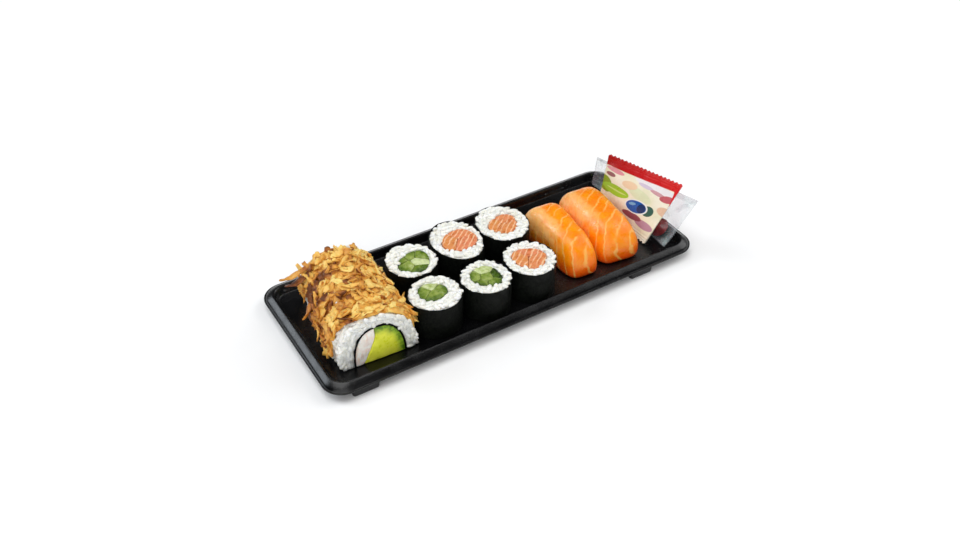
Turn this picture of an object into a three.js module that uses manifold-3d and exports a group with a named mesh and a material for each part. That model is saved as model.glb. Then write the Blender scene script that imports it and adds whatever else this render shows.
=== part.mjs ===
// A takeaway sushi tray as a three.js scene graph: a shallow black tray of thermoformed
// plastic that carries three inside-out rolls under fried onion, six thin rolls standing on
// end, two nigiri, a printed sauce sachet and a clear bag with a little sauce in it.
//
// Millimetres, +Z up, +X along the tray. The origin is on the ground under the tray's centre.

import * as THREE from "three";
import { mergeVertices } from "three/addons/utils/BufferGeometryUtils.js";
import Module from "manifold-3d";

const wasm = await Module();
wasm.setup();

// ---------------------------------------------------------------- driving dimensions

const GAP = 0.3; // between any two pieces that touch
const TRAY = {
  length: 220,
  width: 90,
  corner: 11, // radius of the outer corners, seen from above
  lip: 4.8, // height of the rim's lower edge over the ground
  floor: 3.8, // height of the floor's upper face
  ridge: 8.2, // height of the rim's crest
  sheet: 0.7, // thickness of the plastic
};
const FOOT = { length: 14, inset: 1.1, width: 5.4, draft: 0.5, left: -91.5, right: 72.5 };
const REST = TRAY.floor + GAP; // the underside of everything that stands in the tray

const INSIDE_OUT = {
  depth: 19, // of one piece, from its front cut to its back cut
  right: 2.1, // exponent of the arch's right side: 2 is round, more is squarer
  tuck: 1.2, // the sides turn in by this much where they meet the tray
  tuckHeight: 7,
  dent: 0.75, // depth of the hollows between grains of rice
};
// Each piece's middle, half width and height. `left` is the exponent of its left side, and `hang`
// is the angle of the arch where its onion ends at the left.
const PIECES = [
  { x: -77.2, y: -21.5, halfWidth: 20.7, height: 27.0, left: 2.8, yaw: -0.05, hang: 3.06 },
  { x: -76.0, y: -2.0, halfWidth: 20.4, height: 26.7, left: 2.7, yaw: -0.06, hang: 2.9 },
  { x: -73.4, y: 18.0, halfWidth: 19.5, height: 25.6, left: 2.3, yaw: -0.12, hang: 2.95 },
];
const INNER = { shift: 0.65, halfWidth: 13.95, height: 21.6, left: 2.8 }; // the rice's inner face
const NORI = 0.5;
const ONION = {
  rightEnd: 0.42, // the layer's right end, as an angle of the arch
  thin: 1.2, // the layer's thickness
  thick: 2.8,
  overhangFront: 1.8, // it hangs over the row's front and back cuts by this much
  overhangBack: 2.5,
};
const FLAKES = {
  count: 20, // on each piece
  half: [3.2, 5.6], // half the length
  width: [1.1, 1.9], // half the width
  thick: [0.5, 0.75], // half the thickness
  curl: [-0.9, 1.1], // how far the ends bend up
  tilt: [-0.12, 0.18],
};
const STRAY = { from: [-17, 2.5, 27.5], to: [-28.8, 6.5, 18.7], width: 1.7, thick: 0.7, curl: 0.5 };

// Each thin roll: its middle, its radii, its height, and how its lumps are turned.
const THIN_ROLLS = [
  { filling: "cucumber", x: -39.4, y: 7.0, rx: 13.7, ry: 14.4, height: 18.9, turn: 0.5 },
  { filling: "cucumber", x: -41.3, y: -21.3, rx: 14.1, ry: 13.5, height: 18.4, turn: 2.2 },
  { filling: "cucumber", x: -13.6, y: -24.0, rx: 13.2, ry: 13.4, height: 18.6, turn: 3.6 },
  { filling: "salmon", x: -11.5, y: 8.8, rx: 13.8, ry: 17.4, height: 19.4, turn: 1.1 },
  { filling: "salmon", x: 17.2, y: 9.4, rx: 14.3, ry: 16.2, height: 18.8, turn: 0.3 },
  { filling: "salmon", x: 13.6, y: -22.7, rx: 13.6, ry: 14.9, height: 18.5, turn: 2.7 },
];
// The space that its filling takes: how far off the middle, and its mean radius.
const HOLES = [
  { x: 0.9, y: -2.0, radius: 8.5 },
  { x: -0.5, y: 2.0, radius: 7.1 },
  { x: 0.8, y: 0.7, radius: 8.1 },
  { x: 1.5, y: -0.8, radius: 9.2 },
  { x: 0.4, y: -0.7, radius: 8.2 },
  { x: 0.2, y: 0.2, radius: 8.6 },
];
THIN_ROLLS.forEach((roll, i) => Object.assign(roll, { hole: HOLES[i] }));
const BUMP = 0.5; // height of the grains over the rice's mean level
const STRIPS = { cucumber: 3, salmon: 2 };

const NIGIRI = [
  { x: 45.4, y: -5.9, halfWidth: 11.3, halfLength: 26.7, height: 19.2, yaw: -0.06, taper: 0.12 },
  { x: 70.8, y: -4.7, halfWidth: 13.5, halfLength: 27.6, height: 19.2, yaw: -0.09, taper: -0.03 },
];
// Exponents: 1 is round, less is boxier.
const LOAF = { side: 0.42, end: 0.45, shoulder: 0.55, brow: 0.92 };
const SLICE = { side: 3.3, top: 4.2, droop: 0.06 }; // thickness, and how much the front end sinks

const SACHET = {
  bottomBack: [86.6, 15, 4.8],
  bottomFront: [86.5, -27.5, 4.5],
  topFront: [107.6, -29.3, 37.8],
  topBack: [92.1, 15.6, 37.8],
  edge: 0.5, // half thickness of the sealed edges
  belly: 2.3, // what the contents add to it
  seal: 0.14, // share of each side that is sealed flat
  pocket: 0,
};
const BAG = {
  bottomBack: [96.6, 34, 5.0],
  bottomFront: [94.0, -35.6, 5.2],
  topFront: [109.2, -40.4, 33.3],
  topBack: [98.7, 34, 22.8],
  edge: 0.45,
  belly: 1.5,
  seal: 0.1,
  pocket: 3.0, // the sauce swells the lower front corner by this much more
};
const POCKET = { along: 0.866, up: 0.19, length: 0.11, height: 0.2 }; // where, as shares of the bag

// ---------------------------------------------------------------- small helpers

const point = (x, y, z) => new THREE.Vector3(x, y, z);
const steps = (count) => Array.from({ length: count + 1 }, (_, i) => i / count);
const mix = (a, b, share) => a + (b - a) * share;
const smooth = (low, high, value) => THREE.MathUtils.smoothstep(value, low, high);
const power = (value, exponent) => Math.sign(value) * Math.abs(value) ** exponent;

/** A seeded draw, the same on every run. */
function drawsFrom(seed) {
  let state = seed >>> 0;
  return (low = 0, high = 1) => {
    state = (state + 0x6d2b79f5) >>> 0;
    let t = Math.imul(state ^ (state >>> 15), state | 1);
    t ^= t + Math.imul(t ^ (t >>> 7), t | 61);
    return mix(low, high, ((t ^ (t >>> 14)) >>> 0) / 4294967296);
  };
}

/** Six times the volume that a triangle mesh encloses; negative if it is inside out. */
function signedVolume(vertices, faces) {
  let sum = 0;
  for (let i = 0; i < faces.length; i += 3) {
    const [a, b, c] = [0, 1, 2].map((k) => vertices[faces[i + k]]);
    sum += a.dot(b.clone().cross(c));
  }
  return sum;
}

/** Joins rings of equally many points into one closed skin, with both end rings filled in. */
function skin(rings, loop = false) {
  const count = rings[0].length;
  const vertices = rings.flat();
  const faces = [];
  const bands = loop ? rings.length : rings.length - 1;
  for (let k = 0; k < bands; k++) {
    const low = k * count;
    const high = ((k + 1) % rings.length) * count;
    for (let i = 0; i < count; i++) {
      const j = (i + 1) % count;
      faces.push(low + i, low + j, high + j, low + i, high + j, high + i);
    }
  }
  for (const end of loop ? [] : [0, rings.length - 1]) {
    const middle = vertices.length;
    const sum = rings[end].reduce((total, p) => total.add(p), point(0, 0, 0));
    vertices.push(sum.divideScalar(count));
    for (let i = 0; i < count; i++) {
      const pair = [end * count + i, end * count + ((i + 1) % count)];
      faces.push(middle, ...(end === 0 ? pair.reverse() : pair));
    }
  }
  if (signedVolume(vertices, faces) < 0) faces.reverse();
  const geometry = new THREE.BufferGeometry().setFromPoints(vertices);
  return geometry.setIndex(faces);
}

/** A flat outline in the X-Z plane, drawn out along Y from front to back. */
function slabAlongY(outline, front, back) {
  const shape = new THREE.Shape(outline.map((p) => new THREE.Vector2(p.x, p.z)));
  const geometry = new THREE.ExtrudeGeometry(shape, { depth: back - front, bevelEnabled: false });
  return geometry.rotateX(Math.PI / 2).translate(0, back, 0);
}

/** A flat outline in the X-Y plane, drawn out upwards from low to high. */
function slabUp(outline, low, high) {
  const shape = new THREE.Shape(outline.map((p) => new THREE.Vector2(p.x, p.y)));
  const geometry = new THREE.ExtrudeGeometry(shape, { depth: high - low, bevelEnabled: false });
  return geometry.translate(0, 0, low);
}

function toSolid(geometry) {
  const bare = geometry.clone();
  bare.deleteAttribute("normal");
  bare.deleteAttribute("uv");
  const merged = mergeVertices(bare, 1e-4);
  return new wasm.Manifold(
    new wasm.Mesh({
      numProp: 3,
      vertProperties: new Float32Array(merged.getAttribute("position").array),
      triVerts: new Uint32Array(merged.index.array),
    }),
  );
}

function fromSolid(solid) {
  const mesh = solid.getMesh();
  const geometry = new THREE.BufferGeometry();
  geometry.setAttribute("position", new THREE.BufferAttribute(mesh.vertProperties, 3));
  return geometry.setIndex(new THREE.BufferAttribute(mesh.triVerts, 1));
}

/** The largest body of a solid: cutting can leave loose scraps, which are dropped. */
function largestBody(solid) {
  return solid.decompose().reduce((best, body) => (body.volume() > best.volume() ? body : best));
}

// ---------------------------------------------------------------- finishes

const finish = (color, roughness, extra = {}) =>
  new THREE.MeshStandardMaterial({ color, roughness, metalness: 0, ...extra });

const FINISH = {
  tray: finish(0x0d0d10, 0.28),
  rice: finish(0xf1efe6, 0.55),
  nori: finish(0x14190f, 0.6),
  salmon: finish(0xf58a35, 0.35),
  cucumber: finish(0x8aa64b, 0.4),
  avocado: finish(0xb9c63c, 0.45),
  surimi: finish(0xf3e0d2, 0.45),
  onion: finish(0xd6963f, 0.6),
  sachet: finish(0xefe3c8, 0.35),
  film: finish(0xe3e8e8, 0.1, { transparent: true, opacity: 0.35 }),
};

const sushiTray = new THREE.Group();

/** Adds one named sub-part. */
function add(name, geometry, material) {
  geometry.computeVertexNormals();
  const mesh = new THREE.Mesh(geometry, material);
  mesh.name = name;
  sushiTray.add(mesh);
}

// ---------------------------------------------------------------- the tray

/** A rounded rectangle seen from above, `inset` inside the tray's outline. */
function roundedRing(halfLength, halfWidth, radius, z, perCorner, at = [0, 0]) {
  return [0, 1, 2, 3].flatMap((corner) => {
    const [sx, sy] = [[1, 1], [-1, 1], [-1, -1], [1, -1]][corner];
    return steps(perCorner).map((share) => {
      const angle = ((corner + share) * Math.PI) / 2;
      const x = sx * (halfLength - radius) + radius * Math.cos(angle);
      const y = sy * (halfWidth - radius) + radius * Math.sin(angle);
      return point(at[0] + x, at[1] + y, z);
    });
  });
}

/** The sheet's section from the floor's edge out over the rim to the lip, and back beneath. */
function traySection() {
  const { floor, ridge, lip, sheet } = TRAY;
  const above = [
    [7.3, floor],
    [6.8, floor + 0.4],
    [5.5, ridge - 0.8],
    [4.7, ridge - 0.15],
    [3.4, ridge],
    [2.3, ridge - 0.2],
    [1.5, ridge - 1.1],
    [0.7, lip + 0.8],
    [0.0, lip + 0.5],
  ];
  const below = [
    [0.0, lip],
    [1.1, lip + 0.2],
    [2.1, ridge - 1.3],
    [2.9, ridge - 0.8],
    [4.3, ridge - 0.8],
    [4.9, ridge - 1.3],
    [6.2, floor - 0.2],
    [7.3, floor - sheet],
  ];
  return [...above, ...below];
}

function tray() {
  const [halfLength, halfWidth] = [TRAY.length / 2, TRAY.width / 2];
  const rings = traySection().map(([inset, z]) => {
    const radius = TRAY.corner - inset * 0.7;
    return roundedRing(halfLength - inset, halfWidth - inset, radius, z, 5);
  });
  let solid = toSolid(skin(rings));
  for (const x of [FOOT.left, FOOT.right]) {
    for (const side of [-1, 1]) {
      const at = [x, side * (halfWidth - FOOT.inset - FOOT.width / 2)];
      const foot = [[0, FOOT.draft], [0.6, 0.15], [TRAY.lip + 1.1, 0]].map(([z, draft]) =>
        roundedRing(FOOT.length / 2 - draft, FOOT.width / 2 - draft, 1.6, z, 3, at),
      );
      solid = solid.add(toSolid(skin(foot)));
    }
  }
  add("tray", fromSolid(largestBody(solid)), FINISH.tray);
}

// ---------------------------------------------------------------- inside-out rolls

/** A point of an arch round its own middle: 0 is its right foot and PI its left one. */
function archPoint(angle, { halfWidth, height, left, shift = 0, tuck = 0 }, out) {
  const exponent = 2 / (Math.cos(angle) < 0 ? left : INSIDE_OUT.right);
  const z = Math.max((height + out) * power(Math.sin(angle), exponent), 0);
  const low = 1 - smooth(0, INSIDE_OUT.tuckHeight, z);
  const x = (halfWidth + out - tuck * low * low) * power(Math.cos(angle), exponent);
  return point(shift + x, 0, REST + z);
}

const outerArch = (piece, angle, out = 0) => {
  const { halfWidth, height, left } = piece;
  return archPoint(angle, { halfWidth, height, left, tuck: INSIDE_OUT.tuck }, out);
};
const innerArch = (angle, inwards = 0) => archPoint(angle, INNER, -inwards);
const alongArch = (count, from = 0, to = Math.PI) => steps(count).map((s) => mix(from, to, s));
const atY = (p, y) => point(p.x, y, p.z);
const [CUT_FRONT, CUT_BACK] = [-INSIDE_OUT.depth / 2, INSIDE_OUT.depth / 2];

/** The ring of rice round the filling: its legs stand on the tray, and it is lumpy all over. */
function insideOutRice(piece, draw) {
  const dent = () => draw(0, INSIDE_OUT.dent);
  const rings = alongArch(18).map((angle) => {
    const inner = innerArch(angle);
    const outer = () => outerArch(piece, angle, -dent());
    const middle = inner.clone().lerp(outer(), 0.5);
    const across = [0.2, 0.4, 0.6, 0.8].map((s) => atY(outer(), mix(CUT_FRONT, CUT_BACK, s)));
    return [
      atY(inner, CUT_FRONT),
      atY(middle, CUT_FRONT + dent()),
      atY(outer(), CUT_FRONT + 0.3),
      ...across,
      atY(outer(), CUT_BACK - 0.3),
      atY(middle, CUT_BACK - dent()),
      atY(inner, CUT_BACK),
    ];
  });
  return skin(rings);
}

function insideOutNori() {
  const rings = alongArch(16).map((angle) => {
    const [outer, inner] = [innerArch(angle, GAP), innerArch(angle, GAP + NORI)];
    const [front, back] = [CUT_FRONT + 0.1, CUT_BACK - 0.1];
    return [atY(outer, front), atY(outer, back), atY(inner, back), atY(inner, front)];
  });
  return skin(rings);
}

/** The seam between crab stick and avocado: on the tray, half way up, and at its top. */
const SEAM = [[-8.3, 0], [-4.2, 8], [-1.3, 15]];
const SEAM_ANGLE = 1.66; // where it meets the arch

/** Crab stick fills the left of the arch and avocado the rest; both run right through. */
function insideOutFilling(which, recess) {
  const face = GAP + NORI + GAP;
  const side = which === "surimi" ? -1 : 1;
  const far = side < 0 ? Math.PI : 0;
  const arc = alongArch(9, SEAM_ANGLE - side * 0.02, far).map((angle) => innerArch(angle, face));
  const line = SEAM.map(([x, z]) => point(x + side * GAP * 0.6, 0, REST + z));
  return slabAlongY([...line, ...arc], CUT_FRONT + recess, CUT_BACK - recess);
}

/** A bent, tapered strip round `at`: it runs `along` and its broad side faces `up`. */
function onionStrip(at, along, up, { half, width, thick, curl }) {
  const across = along.clone().cross(up).normalize();
  const lift = across.clone().cross(along);
  const rings = [-1, 0, 1].map((s) => {
    const taper = 1 - 0.4 * s * s;
    const centre = at.clone().addScaledVector(along, s * half).addScaledVector(lift, curl * s * s);
    return [[1, 1], [-1, 1], [-1, -1], [1, -1]].map(([a, b]) =>
      centre.clone().addScaledVector(across, a * width * taper).addScaledVector(lift, b * thick),
    );
  });
  return skin(rings);
}

/** One flake lying on the layer at `angle` and `y`, turned any way. */
function onionFlake(piece, angle, y, draw) {
  const at = atY(outerArch(piece, angle, draw(ONION.thin, ONION.thick)), y);
  const ahead = outerArch(piece, angle + 0.01).sub(outerArch(piece, angle - 0.01)).normalize();
  const up = point(0, 1, 0).cross(ahead).negate();
  const turn = draw(0, Math.PI);
  const along = ahead.multiplyScalar(Math.cos(turn)).addScaledVector(point(0, 1, 0), Math.sin(turn));
  along.addScaledVector(up, draw(...FLAKES.tilt)).normalize();
  const [half, width] = [draw(...FLAKES.half), draw(...FLAKES.width)];
  const [thick, curl] = [draw(...FLAKES.thick), draw(...FLAKES.curl)];
  return onionStrip(at, along, up, { half, width, thick, curl });
}

/** The one long strip that sticks out of the heap at its back left. */
function strayStrip() {
  const [from, to] = [point(...STRAY.from), point(...STRAY.to)];
  const half = from.distanceTo(to) / 2;
  const along = to.clone().sub(from).normalize();
  return onionStrip(from.lerp(to, 0.5), along, point(0, 0, 1), { ...STRAY, half });
}

/** Fried onion heaped on one piece: a lumpy layer with strips of onion fused to it. */
function onionHeap(piece, draw, { isFirst, isLast }) {
  const layer = alongArch(12, ONION.rightEnd, piece.hang).map((angle) => {
    const over = [0.03, 0.5, 0.97].map((s) => {
      const height = GAP + draw(ONION.thin, ONION.thick);
      return atY(outerArch(piece, angle, height), mix(CUT_FRONT, CUT_BACK, s));
    });
    const under = outerArch(piece, angle, GAP / 2);
    return [atY(under, CUT_FRONT), ...over, atY(under, CUT_BACK)];
  });
  let heap = toSolid(skin(layer));
  for (let i = 0; i < FLAKES.count; i++) {
    const share = (i + draw(0.1, 0.9)) / FLAKES.count;
    const angle = mix(ONION.rightEnd + 0.1, piece.hang - 0.05, share);
    heap = heap.add(toSolid(onionFlake(piece, angle, draw(CUT_FRONT, CUT_BACK), draw)));
  }
  if (isLast) heap = heap.add(toSolid(strayStrip()));
  const roll = alongArch(20).map((angle) => outerArch(piece, angle, GAP));
  heap = heap.subtract(toSolid(slabAlongY(roll, CUT_FRONT - 9, CUT_BACK + 9)));
  const reach = [point(-40, 0, 0), point(40, 0, 0), point(40, 0, 60), point(-40, 0, 60)];
  const front = CUT_FRONT - (isFirst ? ONION.overhangFront : 0);
  const back = CUT_BACK + (isLast ? ONION.overhangBack : 0);
  const slot = slabAlongY(reach, front, back);
  heap = toSolid(inPlace(fromSolid(heap.intersect(toSolid(slot))), piece));
  for (const neighbour of THIN_ROLLS.slice(0, 2)) {
    heap = heap.subtract(toSolid(slabUp(rollRing(neighbour, 0.5, 24), 0, 40)));
  }
  return fromSolid(largestBody(heap));
}

/** Turns and moves one piece's geometry to its place in the row. */
const inPlace = (geometry, piece) => geometry.rotateZ(piece.yaw).translate(piece.x, piece.y, 0);

function insideOutRolls() {
  PIECES.forEach((piece, i) => {
    const draw = drawsFrom(100 + i);
    const ends = { isFirst: i === 0, isLast: i === PIECES.length - 1 };
    const place = (name, geometry, material) =>
      add(`uramaki_${i + 1}_${name}`, inPlace(geometry, piece), material);
    place("rice", insideOutRice(piece, draw), FINISH.rice);
    place("nori", insideOutNori(), FINISH.nori);
    place("surimi", insideOutFilling("surimi", draw(0.1, 0.5)), FINISH.surimi);
    place("avocado", insideOutFilling("avocado", draw(0.1, 0.5)), FINISH.avocado);
    add(`uramaki_${i + 1}_onion`, onionHeap(piece, drawsFrom(500 + i), ends), FINISH.onion);
  });
}

// ---------------------------------------------------------------- thin rolls

/** Radius of a thin roll's outside at `angle`: an oval, pressed a little out of round. */
function rollRadius(roll, angle) {
  const oval = 1 / Math.hypot(Math.cos(angle) / roll.rx, Math.sin(angle) / roll.ry);
  return oval * (1 + 0.012 * Math.sin(3 * angle + roll.turn * 5) - 0.006);
}

const onCircle = (roll, angle, radius, z) =>
  point(roll.x + radius * Math.cos(angle), roll.y + radius * Math.sin(angle), z);
const inHole = (roll, angle, radius, z) =>
  onCircle(roll, angle, radius, z).add(point(roll.hole.x, roll.hole.y, 0));
const around = (count) => steps(count).slice(1).map((s) => s * 2 * Math.PI);
const rollRing = (roll, out, count) =>
  around(count).map((angle) => onCircle(roll, angle, rollRadius(roll, angle) + out, 0));

/** Radius of the space inside the rice, uneven as the sticks press into it. */
function holeRadius(roll, angle) {
  const [oval, lobes] = [Math.sin(2 * angle + roll.turn), Math.sin(3 * angle - roll.turn * 2)];
  return roll.hole.radius * (1 + 0.07 * oval + 0.05 * lobes);
}

function thinRollNori(roll) {
  const [low, high] = [REST, REST + roll.height];
  const rings = around(26).map((angle) => {
    const radius = rollRadius(roll, angle);
    return [[0, low], [0, high], [NORI, high], [NORI, low]].map(([inwards, z]) =>
      onCircle(roll, angle, radius - inwards, z),
    );
  });
  return skin(rings, true);
}

/** The rice between seaweed and filling; its top has bumps the size of grains. */
function thinRollRice(roll, draw) {
  const high = REST + roll.height - 0.2;
  const rings = around(24).map((angle) => {
    const outer = onCircle(roll, angle, rollRadius(roll, angle) - NORI - GAP, 0);
    const inner = inHole(roll, angle, holeRadius(roll, angle) + GAP, 0);
    const at = (share, z) => inner.clone().lerp(outer, share).setZ(z);
    const top = [0.93, 0.62, 0.3, 0].map((share) => {
      const edge = share === 0.93 || share === 0 ? BUMP : 0;
      return at(share, high - edge + draw(-BUMP, BUMP));
    });
    return [at(0, REST), at(1, REST), at(1, high - 1.3), ...top];
  });
  return skin(rings, true);
}

/** One stick of the filling: a sector of the space inside the rice. */
function fillingStick(roll, index, draw) {
  const count = STRIPS[roll.filling];
  const [from, to] = [index, index + 1].map((k) => (k / count) * 2 * Math.PI + roll.turn);
  const tip = GAP / 2 / Math.sin((to - from) / 2);
  const middle = (from + to) / 2;
  const inset = (GAP * 0.6) / roll.hole.radius;
  const arc = steps(7).map((s) => {
    const angle = mix(from + inset, to - inset, s);
    return inHole(roll, angle, holeRadius(roll, angle), 0);
  });
  const top = REST + roll.height + draw(-0.7, 0.7);
  return slabUp([inHole(roll, middle, tip, 0), ...arc], REST, top);
}

function thinRolls() {
  THIN_ROLLS.forEach((roll, i) => {
    const draw = drawsFrom(700 + i);
    const name = `hosomaki_${i + 1}`;
    add(`${name}_nori`, thinRollNori(roll), FINISH.nori);
    add(`${name}_rice`, thinRollRice(roll, draw), FINISH.rice);
    for (let k = 0; k < STRIPS[roll.filling]; k++) {
      add(`${name}_${roll.filling}_${k + 1}`, fillingStick(roll, k, draw), FINISH[roll.filling]);
    }
  });
}

// ---------------------------------------------------------------- nigiri

/** A point of a loaf: `round` runs about it, `rise` from its foot, 0, to its top, PI / 2. */
function loafPoint(piece, inwards, round, rise) {
  const [side, top] = [SLICE.side * inwards, SLICE.top * inwards];
  const wide = power(Math.cos(rise), LOAF.shoulder);
  const along = wide * power(Math.sin(round), LOAF.end);
  const across = wide * power(Math.cos(round), LOAF.side) * (1 + piece.taper * along);
  const [x, y] = [(piece.halfWidth - side) * across, (piece.halfLength - side) * along];
  const slope = 1 + SLICE.droop * along;
  const z = (piece.height - top) * power(Math.sin(rise), LOAF.brow) * slope;
  const [c, s] = [Math.cos(piece.yaw), Math.sin(piece.yaw)];
  return point(piece.x + c * x - s * y, piece.y + s * x + c * y, REST + z);
}

/** How far up the slice ends: on the tray in front and at the left, higher at the back. */
function sliceFoot(round) {
  const right = smooth(0.2, 0.9, Math.cos(round));
  const back = smooth(0.2, 0.9, Math.sin(round));
  return 0.02 + 0.2 * Math.max(right * 0.7, back);
}

/** The slice of fish draped over the rice: a shell, thicker on top than at its sides. */
function nigiriSlice(piece) {
  const shell = (inwards) => (share) =>
    around(24).map((round) =>
      loafPoint(piece, inwards, round, mix(sliceFoot(round), Math.PI / 2, share)),
    );
  const climb = [0, 0.1, 0.24, 0.42, 0.62, 0.8, 0.95];
  const outside = [...climb].reverse().map(shell(0));
  const inside = climb.map(shell(1));
  return skin([...outside, ...inside]);
}

/** The hand-pressed rice under the fish, lumpy where it shows. */
function nigiriRice(piece, draw) {
  const clear = 1 + GAP / SLICE.side + 0.05;
  const rings = [0, 0.08, 0.25, 0.5, 0.75, 0.95].map((share) =>
    around(18).map((round) => {
      const lump = share > 0 && share < 0.3 ? draw(-0.09, 0.03) : 0;
      return loafPoint(piece, clear - lump, round, (share * Math.PI) / 2);
    }),
  );
  return skin(rings);
}

function nigiri() {
  NIGIRI.forEach((piece, i) => {
    add(`nigiri_${i + 1}_rice`, nigiriRice(piece, drawsFrom(900 + i)), FINISH.rice);
    add(`nigiri_${i + 1}_salmon`, nigiriSlice(piece), FINISH.salmon);
  });
}

// ---------------------------------------------------------------- sachet and bag

/** Point of a four-cornered sheet: u runs from back to front, v from bottom to top. */
function onSheet(pack, u, v) {
  const [bb, bf, tf, tb] = [pack.bottomBack, pack.bottomFront, pack.topFront, pack.topBack].map((c) =>
    point(...c),
  );
  return bb.lerp(bf, u).lerp(tb.lerp(tf, u), v);
}

/** A sealed pack: two films that part over the contents and meet at the flat edges. */
function pillow(pack, countU, countV) {
  const full = (share) => smooth(0, 1, Math.min(share, 1 - share, pack.seal * 3) / (pack.seal * 3));
  const rings = steps(countU).map((u) => {
    const sides = [-1, 1].map((side) =>
      steps(countV).map((v) => {
        const ahead = onSheet(pack, u + 0.01, v).sub(onSheet(pack, u - 0.01, v));
        const up = onSheet(pack, u, v + 0.01).sub(onSheet(pack, u, v - 0.01));
        const normal = ahead.cross(up).normalize();
        const [offU, offV] = [(u - POCKET.along) / POCKET.length, (v - POCKET.up) / POCKET.height];
        const corner = Math.exp(-(offU ** 2) - offV ** 2);
        const half = pack.edge + full(v) * (pack.belly * full(u) + pack.pocket * corner);
        return onSheet(pack, u, v).addScaledVector(normal, side * half);
      }),
    );
    return [...sides[0], ...sides[1].reverse()];
  });
  return skin(rings);
}

tray();
insideOutRolls();
thinRolls();
nigiri();
add("sauce_sachet", pillow(SACHET, 12, 9), FINISH.sachet);
add("clear_bag", pillow(BAG, 14, 8), FINISH.film);

export default sushiTray;
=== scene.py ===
# %% [markdown]
# # A takeaway sushi tray
#
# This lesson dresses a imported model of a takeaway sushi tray: a black plastic tray with three
# inside-out rolls under fried onion, six thin rolls on end, two nigiri, a printed sauce sachet
# and a clear bag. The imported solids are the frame: they fix where everything is and how large.
# They can't look like food, because rice is thousands of grains and fried onion is hundreds of
# curled flakes. So each step below takes one kind of piece, builds its real surface over the
# solid's form, and gives it a material.
#
# All sizes in the script are millimetres. Blender's unit is the metre, and one helper converts.

import math

import bpy
import numpy as np
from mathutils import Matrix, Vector, noise


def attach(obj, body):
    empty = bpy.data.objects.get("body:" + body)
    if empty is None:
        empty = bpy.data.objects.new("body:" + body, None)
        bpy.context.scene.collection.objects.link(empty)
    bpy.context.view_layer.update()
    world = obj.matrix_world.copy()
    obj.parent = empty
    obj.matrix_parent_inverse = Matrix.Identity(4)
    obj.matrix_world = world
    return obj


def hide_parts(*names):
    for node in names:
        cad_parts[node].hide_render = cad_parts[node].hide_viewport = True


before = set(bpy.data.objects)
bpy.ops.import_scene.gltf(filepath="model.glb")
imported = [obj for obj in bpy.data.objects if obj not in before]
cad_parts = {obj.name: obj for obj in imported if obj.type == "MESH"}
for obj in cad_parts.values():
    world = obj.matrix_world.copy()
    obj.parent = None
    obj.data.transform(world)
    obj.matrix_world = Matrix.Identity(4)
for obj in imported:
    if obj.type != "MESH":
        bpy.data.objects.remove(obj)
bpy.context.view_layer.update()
MM = 0.001  # one millimetre in Blender's metres
noise.seed_set(1)  # vector noise starts from the clock otherwise, and no two runs are the same

# %% [markdown]
# ## The camera
#
# A camera is three facts: where it stands, what it looks at, and its lens. It could be aimed with
# a Track To constraint, but a constraint would fight with views from other sides. So the script
# turns the aim into a plain rotation once, and leaves the camera free.

# %% The camera
CAMERA_AT = Vector((-220.2, -356.0, 351.9)) * MM
LOOKS_AT = Vector((-2.0, 0.5, 4.8)) * MM
LENS = 38.25  # mm, in front of a sensor 36 mm wide

scene = bpy.context.scene
camera = bpy.data.objects.new("camera", bpy.data.cameras.new("camera"))
scene.collection.objects.link(camera)
camera.data.sensor_width = 36.0
camera.data.lens = LENS
camera.data.clip_start = 0.01
camera.location = CAMERA_AT
camera.rotation_euler = (LOOKS_AT - CAMERA_AT).to_track_quat("-Z", "Y").to_euler()
scene.camera = camera
print("camera is", round((CAMERA_AT - LOOKS_AT).length, 3), "m from what it looks at")

# %% [markdown]
# ## The studio
#
# Food on a pack is lit softly from all round, so that rice stays white and nothing has a hard
# shadow. A bright world would do that alone, but black plastic shows whatever it mirrors, and a
# bright world turns it grey. So most of the light comes from four large discs, and the part of
# the sky that the tray's floor mirrors stays dim. Discs far away (suns with a wide angle) light
# the whole floor equally, where near lamps would leave bright pools on it.

# %% The studio's floor and world
FLOOR_REACH = 3.0  # metres, from its middle to each side
FLOOR_GAP = 0.05  # mm under the tray's feet
SKY = (0.97, 0.98, 1.0, 1.0)
SKY_STRENGTH = 0.05

floor_mesh = bpy.data.meshes.new("studio_floor")
corners = [(x * FLOOR_REACH, y * FLOOR_REACH, 0) for x, y in ((-1, -1), (1, -1), (1, 1), (-1, 1))]
floor_mesh.from_pydata(corners, [], [(0, 1, 2, 3)])
floor = bpy.data.objects.new("studio_floor", floor_mesh)
floor.location.z = -FLOOR_GAP * MM
scene.collection.objects.link(floor)

scene.world = bpy.data.worlds.new("studio")
scene.world.use_nodes = True
background = scene.world.node_tree.nodes["Background"].inputs
background["Color"].default_value = SKY
background["Strength"].default_value = SKY_STRENGTH
scene.view_settings.view_transform = "Standard"
print("floor:", 2 * FLOOR_REACH, "m wide, sky at", SKY_STRENGTH)

# %% The studio's lights
WHITE, COOL_WHITE = (1.0, 1.0, 1.0), (0.86, 0.93, 1.0)
# name, the way it lies, how many degrees wide it looks, strength, colour
LIGHTS = [
    ("light_back_left", (-0.52, 0.66, 0.54), 27, 1.0, COOL_WHITE),
    ("light_above", (-0.1, 0.12, 1.0), 46, 1.5, WHITE),
    ("light_front_left", (-0.5, -0.75, 0.55), 70, 1.5, WHITE),
    ("light_right", (0.8, -0.05, 0.6), 44, 1.15, WHITE),
]

for name, towards, degrees, strength, tint in LIGHTS:
    disc = bpy.data.lights.new(name, "SUN")
    disc.angle = math.radians(degrees)
    disc.energy = strength
    disc.color = tint
    light = bpy.data.objects.new(name, disc)
    light.rotation_euler = Vector(towards).to_track_quat("Z", "Y").to_euler()
    scene.collection.objects.link(light)
    print(f"{name}: {degrees} degrees wide, strength {strength}")

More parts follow.
